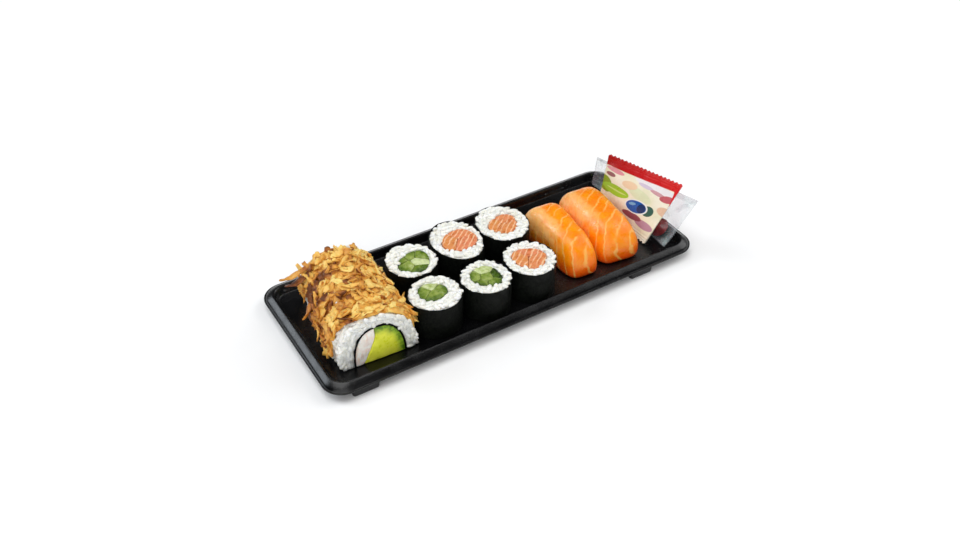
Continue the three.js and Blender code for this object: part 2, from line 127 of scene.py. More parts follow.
# %% [markdown]
# ## Shapes as arrays
#
# The pieces could be modelled with bmesh calls, one face at a time, but a heap of fried onion
# has a hundred thousand faces. Numpy arrays handle them all at once. A shape here is a pair: an
# array of points in millimetres, and a list of face arrays that number those points. A loft
# joins rings of points into one closed skin, which is how nearly every piece is made.

# %% A loft: rings of points as one closed skin


def grid_faces(rows, columns, loop_rows=False, loop_columns=False):
    """Four-sided faces between the points of a grid, numbered row by row."""
    row = np.arange(rows if loop_rows else rows - 1)[:, None] * columns
    column = np.arange(columns if loop_columns else columns - 1)[None, :]
    ahead = (row + columns) % (rows * columns)
    beside = (column + 1) % columns
    quads = np.stack([row + column, row + beside, ahead + beside, ahead + column], -1)
    return quads.reshape(-1, 4)


def volume(points, faces):
    """Signed volume inside a closed shape: negative when its faces point inwards."""
    total = 0.0
    for group in faces:
        for k in range(1, group.shape[1] - 1):
            a, b, c = points[group[:, 0]], points[group[:, k]], points[group[:, k + 1]]
            total += np.einsum("ij,ij->", a, np.cross(b, c)) / 6
    return total


def outwards(points, faces):
    """The same shape with its faces pointing out."""
    if volume(points, faces) < 0:
        faces = [group[:, ::-1] for group in faces]
    return points, faces


def loft(rings, closed_ends=True):
    """Joins rings of equally many points. Its ends are filled, or its last ring meets its first."""
    rings = np.asarray(rings, float)
    rows, columns = rings.shape[:2]
    points = rings.reshape(-1, 3)
    faces = [grid_faces(rows, columns, loop_rows=not closed_ends, loop_columns=True)]
    if closed_ends:
        for end, row in enumerate((0, rows - 1)):
            ring = row * columns + np.arange(columns)
            middle = np.full(columns, len(points))
            fan = np.stack([ring, np.roll(ring, -1), middle], 1)
            faces.append(fan if end else fan[:, ::-1])
            points = np.vstack([points, points[ring].mean(0)])
    return outwards(points, faces)


cube = loft([[(x, y, z) for x, y in ((0, 0), (1, 0), (1, 1), (0, 1))] for z in (0, 1)])
print("volume of a lofted unit cube:", round(volume(*cube), 6))

# %% Joining and copying shapes


def merged(shapes):
    """Several shapes as one."""
    points = np.vstack([shape[0] for shape in shapes])
    starts = np.cumsum([0] + [len(shape[0]) for shape in shapes])
    faces = [group + start for shape, start in zip(shapes, starts) for group in shape[1]]
    return points, faces


def copies(shape, places, axes, sizes):
    """One shape set down many times: at `places`, along `axes` (rows), scaled by `sizes`."""
    points, faces = shape
    scaled = points[None] * sizes[:, None, :]
    many = np.einsum("npk,nkj->npj", scaled, axes) + places[:, None, :]
    starts = np.arange(len(places))[:, None, None] * len(points)
    grouped = [(group[None] + starts).reshape(-1, group.shape[1]) for group in faces]
    return many.reshape(-1, 3), grouped


def triangles(shape):
    """How many triangles a shape comes to."""
    return sum(len(group) * (group.shape[1] - 2) for group in shape[1])


print("triangles in two joined cubes:", triangles(merged([cube, cube])))

# %% Curves and noise


def smoothstep(low, high, value):
    """0 at `low`, 1 at `high` and a smooth ramp between. `low` may be the larger one."""
    share = np.clip((value - low) / (high - low), 0, 1)
    return share * share * (3 - 2 * share)


def signed_power(value, exponent):
    """A power that keeps the sign, which turns a circle's sine and cosine into a squarer arch."""
    return np.sign(value) * np.abs(value) ** exponent


def lumps(points, size, seed=0.0):
    """Smooth noise from about -1 to 1, in lumps `size` mm across."""
    return np.array([noise.noise(p) for p in np.asarray(points) / size + seed])


def evenly(line, count, closed=False):
    """A line of points, set out again at equal steps along itself."""
    line = np.vstack([line, line[:1]]) if closed else np.asarray(line, float)
    step = np.linalg.norm(np.diff(line, axis=0), axis=1)
    along = np.concatenate([[0], np.cumsum(step)])
    at = np.linspace(0, along[-1], count, endpoint=not closed)
    return np.stack([np.interp(at, along, line[:, k]) for k in range(line.shape[1])], 1)


def corners_cut(line, rounds, closed=False):
    """Rounds a line's corners by cutting each one off, again and again."""
    for _ in range(rounds):
        ahead = np.roll(line, -1, axis=0)
        pairs = np.stack([line * 0.75 + ahead * 0.25, line * 0.25 + ahead * 0.75], 1)
        if closed:
            line = pairs.reshape(-1, line.shape[1])
        else:
            line = np.vstack([line[:1], pairs[:-1].reshape(-1, line.shape[1]), line[-1:]])
    return line


square = np.array([[0, 0], [10, 0], [10, 10], [0, 10]], float)
print("points of a square, its corners cut twice:", len(corners_cut(square, 2, closed=True)))

# %% Random places, and how things lie on a surface


def spread(candidates, spacing):
    """Indices of candidates that lie at least `spacing` apart, taken in their random order."""
    kept = np.empty((0, 3))
    chosen = []
    for index, place in enumerate(candidates):
        if len(kept) == 0 or ((kept - place) ** 2).sum(1).min() > spacing**2:
            kept = np.vstack([kept, place])
            chosen.append(index)
    return np.array(chosen)


def unit(vectors):
    """The same directions, one unit long."""
    return vectors / np.linalg.norm(vectors, axis=-1, keepdims=True)


def lying(normals, draw, tilt, along=None, swing=0.6):
    """Axes for things that lie on a surface: length, width, thickness.

    They are turned any way, or swing about the direction `along` if it is given.
    """
    up = unit(normals + draw.normal(0, tilt, normals.shape))
    way = draw.normal(size=up.shape)
    if along is not None:
        way = along + swing * way
    across = unit(np.cross(up, way))
    return np.stack([np.cross(across, up), across, up], 1)


tries = np.random.default_rng(1).random((200, 3))
print("of 200 random places in a unit cube, 0.3 apart:", len(spread(tries, 0.3)))

# %% From a shape to a piece on the frame
made = []


def piece(name, shape, material, nodes, marks=None, sharp=None):
    """A shape as a Blender mesh that stands for `nodes`. `marks` are values kept at its points."""
    points, faces = shape
    mesh = bpy.data.meshes.new(name)
    mesh.from_pydata((points * MM).tolist(), [], [f for group in faces for f in group.tolist()])
    mesh.shade_smooth()
    if sharp is not None:
        mesh.set_sharp_from_angle(angle=math.radians(sharp))
    for label, values in (marks or {}).items():
        mesh.attributes.new(label, "FLOAT", "POINT").data.foreach_set("value", values)
    mesh.materials.append(material)
    thing = bpy.data.objects.new(name, mesh)
    scene.collection.objects.link(thing)
    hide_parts(*nodes)
    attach(thing, "root")
    made.append((name, triangles(shape)))
    print(f"{name}: {triangles(shape)} triangles, stands for {', '.join(nodes)}")
    return thing


# %% [markdown]
# ## Building materials from node groups
#
# A shader node group is a small machine with labelled sockets: built once, then placed in each
# material with its own values. Four effects here are shared. Clouds give every food the uneven
# colour that a flat paint lacks. Fine relief gives a height for bumps. Marbling draws the pale
# fat lines of salmon on the slices and on the sticks alike. Patches vary the gloss, as some
# spots of moist food are wetter than others.

# %% Nodes in one line each


def node(tree, kind, inputs=None, **settings):
    """A new shader node. An input is a number or colour, or a socket to link from."""
    new = tree.nodes.new("ShaderNode" + kind)
    for setting, value in settings.items():
        setattr(new, setting, value)
    for label, value in (inputs or {}).items():
        if isinstance(value, bpy.types.NodeSocket):
            tree.links.new(value, new.inputs[label])
        else:
            new.inputs[label].default_value = value
    return new


def mixed(tree, share, first, second):
    """A blend of two colours: the first where share is 0, the second where it is 1."""
    # A Mix node has a set of sockets for each kind of data. Those of its colours are 6, 7 and 2.
    blend = node(tree, "Mix", {0: share, 6: first, 7: second}, data_type="RGBA")
    return blend.outputs[2]


def math_node(tree, operation, *values):
    """One step of arithmetic on numbers or sockets."""
    return node(tree, "Math", dict(enumerate(values)), operation=operation).outputs[0]


def opposite(tree, share):
    """1 where share is 0, and 0 where it is 1."""
    return math_node(tree, "SUBTRACT", 1.0, share)


def between(tree, value, low, high):
    """0 where value is under low, 1 where it is over high, and a smooth ramp between."""
    limits = {"Value": value, "From Min": low, "From Max": high}
    return node(tree, "MapRange", limits, interpolation_type="SMOOTHSTEP").outputs["Result"]


def scaled_noise(tree, size, detail=2.0, stretch=(1.0, 1.0, 1.0)):
    """Noise in object space whose blotches are `size` mm across. Size may be a socket."""
    place = node(tree, "TexCoord").outputs["Object"]
    vector = node(tree, "VectorMath", {0: place, 1: stretch}, operation="MULTIPLY").outputs[0]
    scale = math_node(tree, "DIVIDE", 1 / MM, size)
    return node(tree, "TexNoise", {"Vector": vector, "Scale": scale, "Detail": detail}).outputs[0]


def swaying(tree, size, detail=2.0):
    """The same noise about zero, to push a value up in some places and down in others."""
    return math_node(tree, "SUBTRACT", scaled_noise(tree, size, detail), 0.5)


print("a noise blotch of 1 mm needs a scale of", round(1 / MM))

# %% Starting a group, and placing one in a material


def start_group(name, inputs, outputs):
    """An empty node group with named sockets. Inputs are (label, kind, default)."""
    group = bpy.data.node_groups.new(name, "ShaderNodeTree")
    for label, kind, default in inputs:
        kind = "NodeSocket" + kind
        socket = group.interface.new_socket(name=label, in_out="INPUT", socket_type=kind)
        socket.default_value = default
    for label, kind in outputs:
        group.interface.new_socket(name=label, in_out="OUTPUT", socket_type="NodeSocket" + kind)
    entry = group.nodes.new("NodeGroupInput")
    leave = group.nodes.new("NodeGroupOutput")
    return group, entry.outputs, leave.inputs


def placed(tree, group, inputs):
    """A node group set down in a material, with this material's own values."""
    return node(tree, "Group", inputs, node_tree=group).outputs


print("groups so far:", len(bpy.data.node_groups))

# %% Group: clouds of two colours
clouds, enter, leave = start_group(
    "Clouds",
    [
        ("Light", "Color", (0.8, 0.8, 0.8, 1.0)),
        ("Dark", "Color", (0.4, 0.4, 0.4, 1.0)),
        ("Size", "Float", 3.0),
        ("Level", "Float", 0.5),
        ("Softness", "Float", 0.12),
    ],
    [("Color", "Color"), ("Mask", "Float")],
)
blotches = scaled_noise(clouds, enter["Size"], detail=3.0)
low_edge = math_node(clouds, "SUBTRACT", enter["Level"], enter["Softness"])
high_edge = math_node(clouds, "ADD", enter["Level"], enter["Softness"])
cloud_mask = between(clouds, blotches, low_edge, high_edge)
clouds.links.new(mixed(clouds, cloud_mask, enter["Dark"], enter["Light"]), leave["Color"])
clouds.links.new(cloud_mask, leave["Mask"])
print("group:", clouds.name)

# %% Group: fine relief, a height for bump nodes
relief, enter, leave = start_group(
    "Fine Relief",
    [("Size", "Float", 1.0), ("Pits", "Float", 0.3)],
    [("Height", "Float")],
)
grainy = scaled_noise(relief, enter["Size"], detail=4.0)
cells = node(
    relief,
    "TexVoronoi",
    {
        "Vector": node(relief, "TexCoord").outputs["Object"],
        "Scale": math_node(relief, "DIVIDE", 1 / MM, enter["Size"]),
    },
)
pits = math_node(relief, "MULTIPLY", cells.outputs["Distance"], enter["Pits"])
relief.links.new(math_node(relief, "ADD", grainy, pits), leave["Height"])
print("group:", relief.name)

# %% Group: marbling, the fat lines of salmon
marbling, enter, leave = start_group(
    "Marbling",
    [
        ("Flesh", "Color", (0.9, 0.3, 0.05, 1.0)),
        ("Fat", "Color", (1.0, 0.7, 0.5, 1.0)),
        ("Pitch", "Float", 5.0),
        ("Width", "Float", 0.25),
        ("Wobble", "Float", 1.5),
        ("Turn", "Float", 0.0),
    ],
    [("Color", "Color"), ("Mask", "Float")],
)
turned = node(
    marbling,
    "VectorRotate",
    {"Vector": node(marbling, "TexCoord").outputs["Object"], "Angle": enter["Turn"]},
    rotation_type="Z_AXIS",
)
SLANT = 0.35  # how far a line leans over as it goes down into the fish
axes = node(marbling, "SeparateXYZ", {0: turned.outputs[0]}).outputs
in_mm = math_node(marbling, "MULTIPLY", axes["X"], 1 / MM)
leaning = math_node(marbling, "MULTIPLY", axes["Z"], SLANT / MM)
sway = math_node(marbling, "MULTIPLY", swaying(marbling, 7.0), enter["Wobble"])
sway = math_node(marbling, "MULTIPLY_ADD", swaying(marbling, 1.4), 0.5, sway)
phase = math_node(marbling, "ADD", math_node(marbling, "ADD", in_mm, sway), leaning)
phase = math_node(marbling, "DIVIDE", phase, enter["Pitch"])
wave = math_node(marbling, "PINGPONG", phase, 0.5)
line_edge = math_node(marbling, "MULTIPLY", enter["Width"], 0.5)
soft_edge = math_node(marbling, "MULTIPLY", enter["Width"], 0.15)
line = opposite(marbling, between(marbling, wave, soft_edge, line_edge))
fade = between(marbling, scaled_noise(marbling, 8.0), 0.25, 0.55)
fat_mask = math_node(marbling, "MULTIPLY", line, fade)
marbling.links.new(mixed(marbling, fat_mask, enter["Flesh"], enter["Fat"]), leave["Color"])
marbling.links.new(fat_mask, leave["Mask"])
print("group:", marbling.name)

# %% Group: patches of gloss on moist food
moisture, enter, leave = start_group(
    "Moisture",
    [("Wet", "Float", 0.15), ("Dry", "Float", 0.5), ("Size", "Float", 3.0)],
    [("Roughness", "Float")],
)
wetness = node(
    moisture,
    "MapRange",
    {
        "Value": scaled_noise(moisture, enter["Size"], detail=3.0),
        "From Min": 0.35,
        "From Max": 0.65,
        "To Min": enter["Wet"],
        "To Max": enter["Dry"],
    },
)
moisture.links.new(wetness.outputs["Result"], leave["Roughness"])
print("group:", moisture.name)

# %% Colours, and starting a material


def colour(red, green, blue):
    """A screen colour, 0 to 255 a channel, as the linear colour that nodes work with."""
    shares = [channel / 255 for channel in (red, green, blue)]
    return (*[s / 12.92 if s < 0.04045 else ((s + 0.055) / 1.055) ** 2.4 for s in shares], 1.0)


def start_material(name, sockets):
    """A material with a Principled BSDF whose plain values are set on its own sockets."""
    material = bpy.data.materials.new(name)
    material.use_nodes = True
    shader = material.node_tree.nodes["Principled BSDF"]
    for label, value in sockets.items():
        shader.inputs[label].default_value = value
    return material, material.node_tree, shader.inputs


def light_sinks_in(weight, radius, reach, specular):
    """Socket values for moist food: light sinks `reach` mm into it, some colours further."""
    return {
        "Subsurface Weight": weight,
        "Subsurface Radius": radius,
        "Subsurface Scale": reach * MM,
        "Specular IOR Level": specular,
    }


def mark_value(tree, label):
    """A value that a piece keeps at its points."""
    return node(tree, "Attribute", attribute_name=label).outputs["Fac"]


print("middle grey as a linear colour:", [round(share, 3) for share in colour(128, 128, 128)])

# %% Feeding a material's shader


def clouded(tree, light, dark, size, level=0.5, softness=0.12):
    """Two colours in clouds `size` mm across. A higher level leaves less of the light one."""
    values = {"Light": light, "Dark": dark, "Size": size, "Level": level, "Softness": softness}
    return placed(tree, clouds, values)["Color"]


def stepped(tree, share, shades):
    """A colour for each share from 0 to 1, blended between (share, colour) stops."""
    steps = node(tree, "ValToRGB", {0: share})
    stops = steps.color_ramp.elements
    for stop, (position, shade) in zip(stops, (shades[0], shades[-1])):
        stop.position = position
        stop.color = shade
    for position, shade in shades[1:-1]:
        stops.new(position).color = shade
    return steps.outputs["Color"]


def relief_height(tree, size, pits):
    """Fine relief with grain and pits `size` mm across."""
    return placed(tree, relief, {"Size": size, "Pits": pits})["Height"]


def bumped(tree, shader, height, depth):
    """Feeds a height to the shader's normal, as relief `depth` mm deep."""
    bump = node(tree, "Bump", {"Height": height, "Distance": depth * MM, "Strength": 1.0})
    tree.links.new(bump.outputs[0], shader["Normal"])


def glossed(tree, shader, wet, dry, size):
    """Feeds patches of gloss `size` mm across to the shader's roughness."""
    gloss = placed(tree, moisture, {"Wet": wet, "Dry": dry, "Size": size})
    tree.links.new(gloss["Roughness"], shader["Roughness"])


print("groups to place:", [group.name for group in (clouds, relief, marbling, moisture)])

# %% The floor's material
PAPER, PAPER_SHADE = (0.93, 0.93, 0.93, 1.0), (0.91, 0.91, 0.91, 1.0)

floor_paint, tree, shader = start_material("studio_floor", {"Roughness": 0.9})
tree.links.new(clouded(tree, PAPER, PAPER_SHADE, 80), shader["Base Color"])
floor_mesh.materials.append(floor_paint)
print("material:", floor_paint.name)

# %% [markdown]
# ## The tray
#
# The tray is one sheet of black plastic, warmed and sucked into a mould, so every edge is round
# and the sheet is equally thick all over. A box with its top cut out would have sharp edges
# and solid walls. Instead the rim's section is a short list of points: floor, wall, crest, lip,
# and back underneath. Cutting their corners rounds them, and a loft carries the section round
# the tray. Vacuum forming leaves the surface very slightly wavy, which bends the reflections.

# %% The tray's shape
TRAY_LENGTH, TRAY_WIDTH, TRAY_CORNER = 220.0, 90.0, 11.0
LIP, TRAY_FLOOR, RIDGE = 4.8, 3.8, 8.2  # heights
SHEET = 0.7  # the plastic's thickness
REST = TRAY_FLOOR + 0.3  # the underside of the food
# (distance in from the tray's outline, height)
RIM_ABOVE = [
    (30.0, TRAY_FLOOR),
    (9.0, TRAY_FLOOR),
    (7.2, TRAY_FLOOR),
    (6.7, TRAY_FLOOR + 0.5),
    (5.5, RIDGE - 0.7),
    (4.9, RIDGE),
    (4.1, RIDGE),
    (1.3, RIDGE - 1.7),
    (0.8, LIP + 0.8),
    (0.0, LIP + 0.75),
]
RIM_BELOW = [
    (0.0, LIP),
    (1.1, LIP + 0.15),
    (2.4, RIDGE - 1.9),
    (4.5, RIDGE - 0.8),
    (6.1, TRAY_FLOOR - 0.1),
    (6.9, TRAY_FLOOR - SHEET),
    (30.0, TRAY_FLOOR - SHEET),
]


def rounded_rectangle(half_length, half_width, radius, height, per_corner=14):
    """A ring of points round a rounded rectangle, seen from above."""
    ring = []
    for corner, (sx, sy) in enumerate([(1, 1), (-1, 1), (-1, -1), (1, -1)]):
        for angle in (corner + np.linspace(0, 1, per_corner)) * math.pi / 2:
            x = sx * (half_length - radius) + radius * math.cos(angle)
            y = sy * (half_width - radius) + radius * math.sin(angle)
            ring.append((x, y, height))
    return ring


section = np.vstack([corners_cut(np.array(RIM_ABOVE), 2), corners_cut(np.array(RIM_BELOW), 2)])
rings = []
for inset, height in section:
    radius = max(TRAY_CORNER - 0.7 * inset, 3.0)
    half_length, half_width = TRAY_LENGTH / 2 - inset, TRAY_WIDTH / 2 - inset
    rings.append(rounded_rectangle(half_length, half_width, radius, height))
sheet = loft(rings)
print("section points:", len(section))

# %% The tray's feet
FOOT_LENGTH, FOOT_WIDTH, FOOT_CORNER, FOOT_INSET = 14.0, 5.4, 1.3, 1.1
FOOT_CENTRES = [-91.5, 72.5]
# (height, distance in from the foot's widest)
FOOT_SECTION = [(0.0, 1.4), (0.0, 0.6), (0.25, 0.15), (0.8, 0.0), (5.9, -0.1)]

rings = []
for height, inset in FOOT_SECTION:
    half_length, half_width = FOOT_LENGTH / 2 - inset, FOOT_WIDTH / 2 - inset
    rings.append(rounded_rectangle(half_length, half_width, FOOT_CORNER, height, 6))
foot = loft(rings)
foot_y = TRAY_WIDTH / 2 - FOOT_INSET - FOOT_WIDTH / 2
places = np.array([(x, side * foot_y, 0) for x in FOOT_CENTRES for side in (-1, 1)])
feet = copies(foot, places, np.tile(np.eye(3), (4, 1, 1)), np.ones((4, 3)))
print("feet:", len(places))

# %% The plastic, and the tray as a piece
BLACK, DEEP_BLACK = (0.0024, 0.0024, 0.0029, 1.0), (0.0013, 0.0013, 0.0016, 1.0)

plastic, tree, shader = start_material("black_plastic", {"Specular IOR Level": 0.42, "IOR": 1.5})
tree.links.new(clouded(tree, BLACK, DEEP_BLACK, 12), shader["Base Color"])
glossed(tree, shader, 0.2, 0.3, 9)
waves = math_node(tree, "MULTIPLY", scaled_noise(tree, 14.0, detail=1.0), 3.0)
bumped(tree, shader, math_node(tree, "ADD", waves, relief_height(tree, 0.45, 0.3)), 0.05)
piece("tray_shell", merged([sheet, feet]), plastic, ["tray"])

# %% [markdown]
# ## Cooked rice
#
# A grain of sushi rice is short and plump, swollen by cooking and polished by vinegar. One way
# to scatter grains is a particle system, but particles are lost when a model is exported. So
# the grains are copied as mesh: three shapes, dealt out in turn over a surface, each with its
# own size, turn and tone. Under them lies a lumpy core, so that no gap looks into nothing.

# %% One grain in three shapes, and how grains lie on a surface
GRAIN = np.array([5.1, 2.6, 2.25])  # length, width, thickness
GRAIN_VARIES = 0.09  # in each measure, as a share of it


def rice_grain(bend, taper):
    """A grain one unit long: round in section, blunt at both ends, a little bent."""
    turn = np.linspace(0, 2 * math.pi, 9)[:-1]
    rings = []
    for angle in np.radians(np.linspace(-76, 76, 7)):
        along = math.sin(angle) / 2
        radius = 0.5 * math.cos(angle) ** 0.7 * (1 + taper * along)
        lift = bend * (4 * along * along - 0.4)
        ring = [np.full(8, along), radius * np.cos(turn), radius * np.sin(turn) + lift]
        rings.append(np.stack(ring, 1))
    return loft(rings)


GRAINS = [rice_grain(0.0, 0.25), rice_grain(0.14, -0.2), rice_grain(-0.1, 0.1)]
print("a grain:", triangles(GRAINS[0]), "triangles")

# %% Many grains on a surface, and the core under them


def scattered(shapes, places, axes, sizes, tones, shades=None):
    """Copies of several shapes, dealt out in turn, as one shape with a tone for each point."""
    parts, marks = [], []
    for k, shape in enumerate(shapes):
        mine = slice(k, None, len(shapes))
        parts.append(copies(shape, places[mine], axes[mine], sizes[mine]))
        shade = 0.0 if shades is None else np.tile(shades[k], len(places[mine]))
        marks.append(np.repeat(tones[mine], len(shape[0])) + shade)
    return merged(parts), np.concatenate(marks)


def grains_on(places, normals, draw, sunk, along=None, tilt=0.28, swing=0.6):
    """Grains lying on a surface. `sunk` is how deep their middles are, along the normals."""
    axes = lying(normals, draw, tilt, along, swing)
    sizes = GRAIN * draw.normal(1, GRAIN_VARIES, (len(places), 3))
    return scattered(GRAINS, places - normals * sunk, axes, sizes, draw.random(len(places)))


def lumpy(points, size, depth, seed=0.0):
    """Points pushed about by smooth noise, `depth` mm at most."""
    pushes = [noise.noise_vector(p) for p in np.asarray(points) / size + seed]
    return points + depth * np.array(pushes)


def with_tone(shape, tone):
    """A shape and one tone for all its points."""
    return shape, np.full(len(shape[0]), tone)


def dressed(parts):
    """Joins (shape, tones) pairs into one shape and one array of tones."""
    return merged([shape for shape, _ in parts]), np.concatenate([tones for _, tones in parts])


CORE_TONE = 0.5
(points, faces), tones = dressed([with_tone(GRAINS[0], CORE_TONE), with_tone(GRAINS[1], 1.0)])
print("two joined grains:", len(points), "points,", len(tones), "tones")

# %% Rice, as a material
rice_paint, tree, shader = start_material(
    "cooked_rice", light_sinks_in(0.3, (1.0, 0.85, 0.65), 1.1, specular=0.5)
)
pale = mixed(tree, mark_value(tree, "tone"), colour(236, 235, 224), colour(249, 249, 245))
cloudy = clouded(tree, pale, colour(234, 232, 221), 2.2, level=0.42)
tree.links.new(cloudy, shader["Base Color"])
glossed(tree, shader, 0.22, 0.5, 1.6)
bumped(tree, shader, relief_height(tree, 0.6, 0.2), 0.06)
print("material:", rice_paint.name)

# %% Seaweed, as a material
seaweed_paint, tree, shader = start_material("seaweed", {"Specular IOR Level": 0.12})
leafy = clouded(tree, colour(15, 18, 13), colour(5, 6, 5), 1.3, softness=0.2)
tree.links.new(leafy, shader["Base Color"])
glossed(tree, shader, 0.36, 0.7, 4.0)
bumped(tree, shader, relief_height(tree, 0.8, 0.5), 0.16)
print("material:", seaweed_paint.name)

# %% [markdown]
# ## The inside-out rolls
#
# An inside-out roll has its rice outside: pressed on a mat, it is flat below, round above, and
# cut into pieces that stand in a row. Its section could be drawn point by point. An arch with
# an exponent for each side does the same with five numbers: an exponent of 2 is a circle, and
# a larger one is squarer, like the left side that the mat pressed hardest.

# %% The arch that every layer of the roll follows
CUT = 9.5  # from a piece's middle to its front or back cut
ARCH_RIGHT = 2.1  # the exponent of every arch's right side. "left" is that of its left side
FOOT_TUCK = 1.2  # how far the outside draws in at the tray
ROW = [
    {"x": -77.2, "y": -21.5, "half_width": 20.7, "height": 27.0, "left": 2.8, "yaw": -0.05},
    {"x": -76.0, "y": -2.0, "half_width": 20.4, "height": 26.7, "left": 2.7, "yaw": -0.06},
    {"x": -73.4, "y": 18.0, "half_width": 19.5, "height": 25.6, "left": 2.3, "yaw": -0.12},
]
WRAP = {"half_width": 13.95, "height": 21.6, "left": 2.8}  # the seaweed round the filling
WRAP_SHIFT = 0.65  # to the right of the roll's middle


def arch(count, half_width, height, left, out=0.0, shift=0.0, tuck=0.0):
    """An arch as even steps of (x, height over the tray), from its right foot to its left."""
    angle = np.linspace(0, math.pi, 181)
    exponent = 2 / np.where(np.cos(angle) < 0, left, ARCH_RIGHT)
    z = np.maximum((height + out) * signed_power(np.sin(angle), exponent), 0)
    low = 1 - smoothstep(0, 7, z)
    x = (half_width + out - tuck * low * low) * signed_power(np.cos(angle), exponent)
    return evenly(np.stack([shift + x, z], 1), count)


def outer_arch(roll, count, out=0.0):
    """The outside of a roll's rice."""
    return arch(count, roll["half_width"], roll["height"], roll["left"], out, tuck=FOOT_TUCK)


def inner_arch(count, inwards=0.0):
    """The inside of the rice, where the seaweed lies."""
    return arch(count, WRAP["half_width"], WRAP["height"], WRAP["left"], -inwards, WRAP_SHIFT)


def line_length(line):
    """How long a line of points is."""
    return np.linalg.norm(np.diff(line, axis=0), axis=1).sum()


print("arch length in mm:", round(line_length(outer_arch(ROW[0], 200))))

# %% From an arch to points on the tray


def arch_normals(line):
    """Directions straight out of an arch, in its own x and z."""
    ahead = unit(np.gradient(line, axis=0))
    return np.stack([ahead[:, 1], -ahead[:, 0]], 1)


def stood_up(line, y):
    """Points (x, z) set at y, in the roll's own frame."""
    return np.stack([line[..., 0], np.broadcast_to(y, line.shape[:-1]), line[..., 1]], -1)


def on_tray(points, food):
    """Turns and moves points from a food's own frame to its place on the tray."""
    yaw = food.get("yaw", 0.0)
    c, s = math.cos(yaw), math.sin(yaw)
    x, y, z = points.T
    return np.stack([food["x"] + c * x - s * y, food["y"] + s * x + c * y, REST + z], 1)


print("the first piece's middle:", on_tray(np.zeros((1, 3)), ROW[0])[0].round(1).tolist())

# %% The core of rice round a roll
SUNK, CUT_SUNK = 0.7, 0.5  # how far the core lies under the grains, on its side and at its cuts


def rice_core(roll):
    """The bare ring of rice, lofted from the right foot over the top to the left foot."""
    share = np.linspace(0, 1, 6)[:, None]
    along = np.linspace(-CUT + CUT_SUNK, CUT - CUT_SUNK, 9)
    rings = []
    for inside, outside in zip(inner_arch(46), outer_arch(roll, 46, -SUNK)):
        cut = inside + (outside - inside) * share
        over = stood_up(np.tile(outside, (7, 1)), along[1:-1])
        rings.append(np.vstack([stood_up(cut, along[0]), over, stood_up(cut[::-1], along[-1])]))
    points, faces = loft(rings)
    return lumpy(points, 2.4, 0.45, roll["y"]), faces


print("core:", triangles(rice_core(ROW[0])), "triangles")

# %% Grains on a roll's cuts and sides
STEPS = 300  # along an arch, from its right foot, 0, to its left
BARE_RIGHT, BARE_LEFT = 75, 225  # the onion leaves the steps before and after these bare
FRONT_BARE, FRONT_BARE_WIDTH = 130, 7.5  # and so many mm at the front cut after this one
CUT_TRIES, SIDE_TRIES = 900, 2000
CUT_SPACING, SIDE_SPACING = 2.15, 2.3


def cut_grains(roll, side, draw):
    """Grains on one cut face: side is -1 in front and 1 behind."""
    inside, outside = inner_arch(STEPS), outer_arch(roll, STEPS)
    pick = draw.integers(0, STEPS, CUT_TRIES)
    depth = draw.uniform(0.2, 0.88, CUT_TRIES)[:, None]
    places = stood_up(inside[pick] * (1 - depth) + outside[pick] * depth, side * CUT)
    ahead = stood_up(np.gradient(outside, axis=0)[pick], 0.0)
    places[:, 2] = np.maximum(places[:, 2], 1.0)
    kept = spread(places, CUT_SPACING)
    normals = np.tile([0.0, side, 0.0], (len(kept), 1))
    return grains_on(places[kept], normals, draw, 1.0, unit(ahead[kept]))


def side_grains(roll, draw):
    """Grains on the roll's outside, wherever the onion leaves it bare."""
    outside = outer_arch(roll, STEPS)
    pick = draw.integers(0, STEPS, SIDE_TRIES)
    y = draw.uniform(-CUT + 0.8, CUT - 0.8, SIDE_TRIES)
    bare = (pick < BARE_RIGHT) | (pick > BARE_LEFT)
    bare |= (pick > FRONT_BARE) & (y < -CUT + FRONT_BARE_WIDTH)
    pick = pick[bare]
    places = stood_up(outside[pick], y[bare])
    places[:, 2] = np.maximum(places[:, 2], 0.9)
    kept = spread(places, SIDE_SPACING)
    normals = stood_up(arch_normals(outside)[pick][kept], 0.0)
    return grains_on(places[kept], normals, draw, 0.95)


print("side grains:", triangles(side_grains(ROW[0], np.random.default_rng(10))[0]), "triangles")

# %% The rolls' rice as pieces
PROUD, PROUD_AT_ENDS = 0.15, 0.5  # how far grains stand out of a cut, between pieces and at the ends

for index, roll in enumerate(ROW):
    draw = np.random.default_rng(10 + index)
    parts = [with_tone(rice_core(roll), CORE_TONE), side_grains(roll, draw)]
    parts += [cut_grains(roll, side, draw) for side in (-1, 1)]
    (points, faces), tones = dressed(parts)
    front = PROUD_AT_ENDS if index == 0 else PROUD
    back = PROUD_AT_ENDS if index == len(ROW) - 1 else PROUD
    points[:, 1] = np.clip(points[:, 1], -CUT - front, CUT + back)
    points[:, 2] = np.maximum(points[:, 2], 0.0)
    name = f"uramaki_{index + 1}"
    shape = (on_tray(points, roll), faces)
    piece(f"{name}_grains", shape, rice_paint, [f"{name}_rice"], {"tone": tones})

# %% [markdown]
# ## Seaweed inside the rolls
#
# A sheet of seaweed wraps the filling inside the rice. It is thinner than half a millimetre and
# shows only as a dark line in each cut. A plane without thickness would do for the camera, but
# it would print and collide as nothing, so the sheet is a thin closed loft with a wavy edge.

# %% The seaweed arches
NORI = 0.45  # the seaweed's thickness
NORI_GAP = 0.3  # between it and the rice
EDGE_SWAY = 0.25  # how uneven its edges are

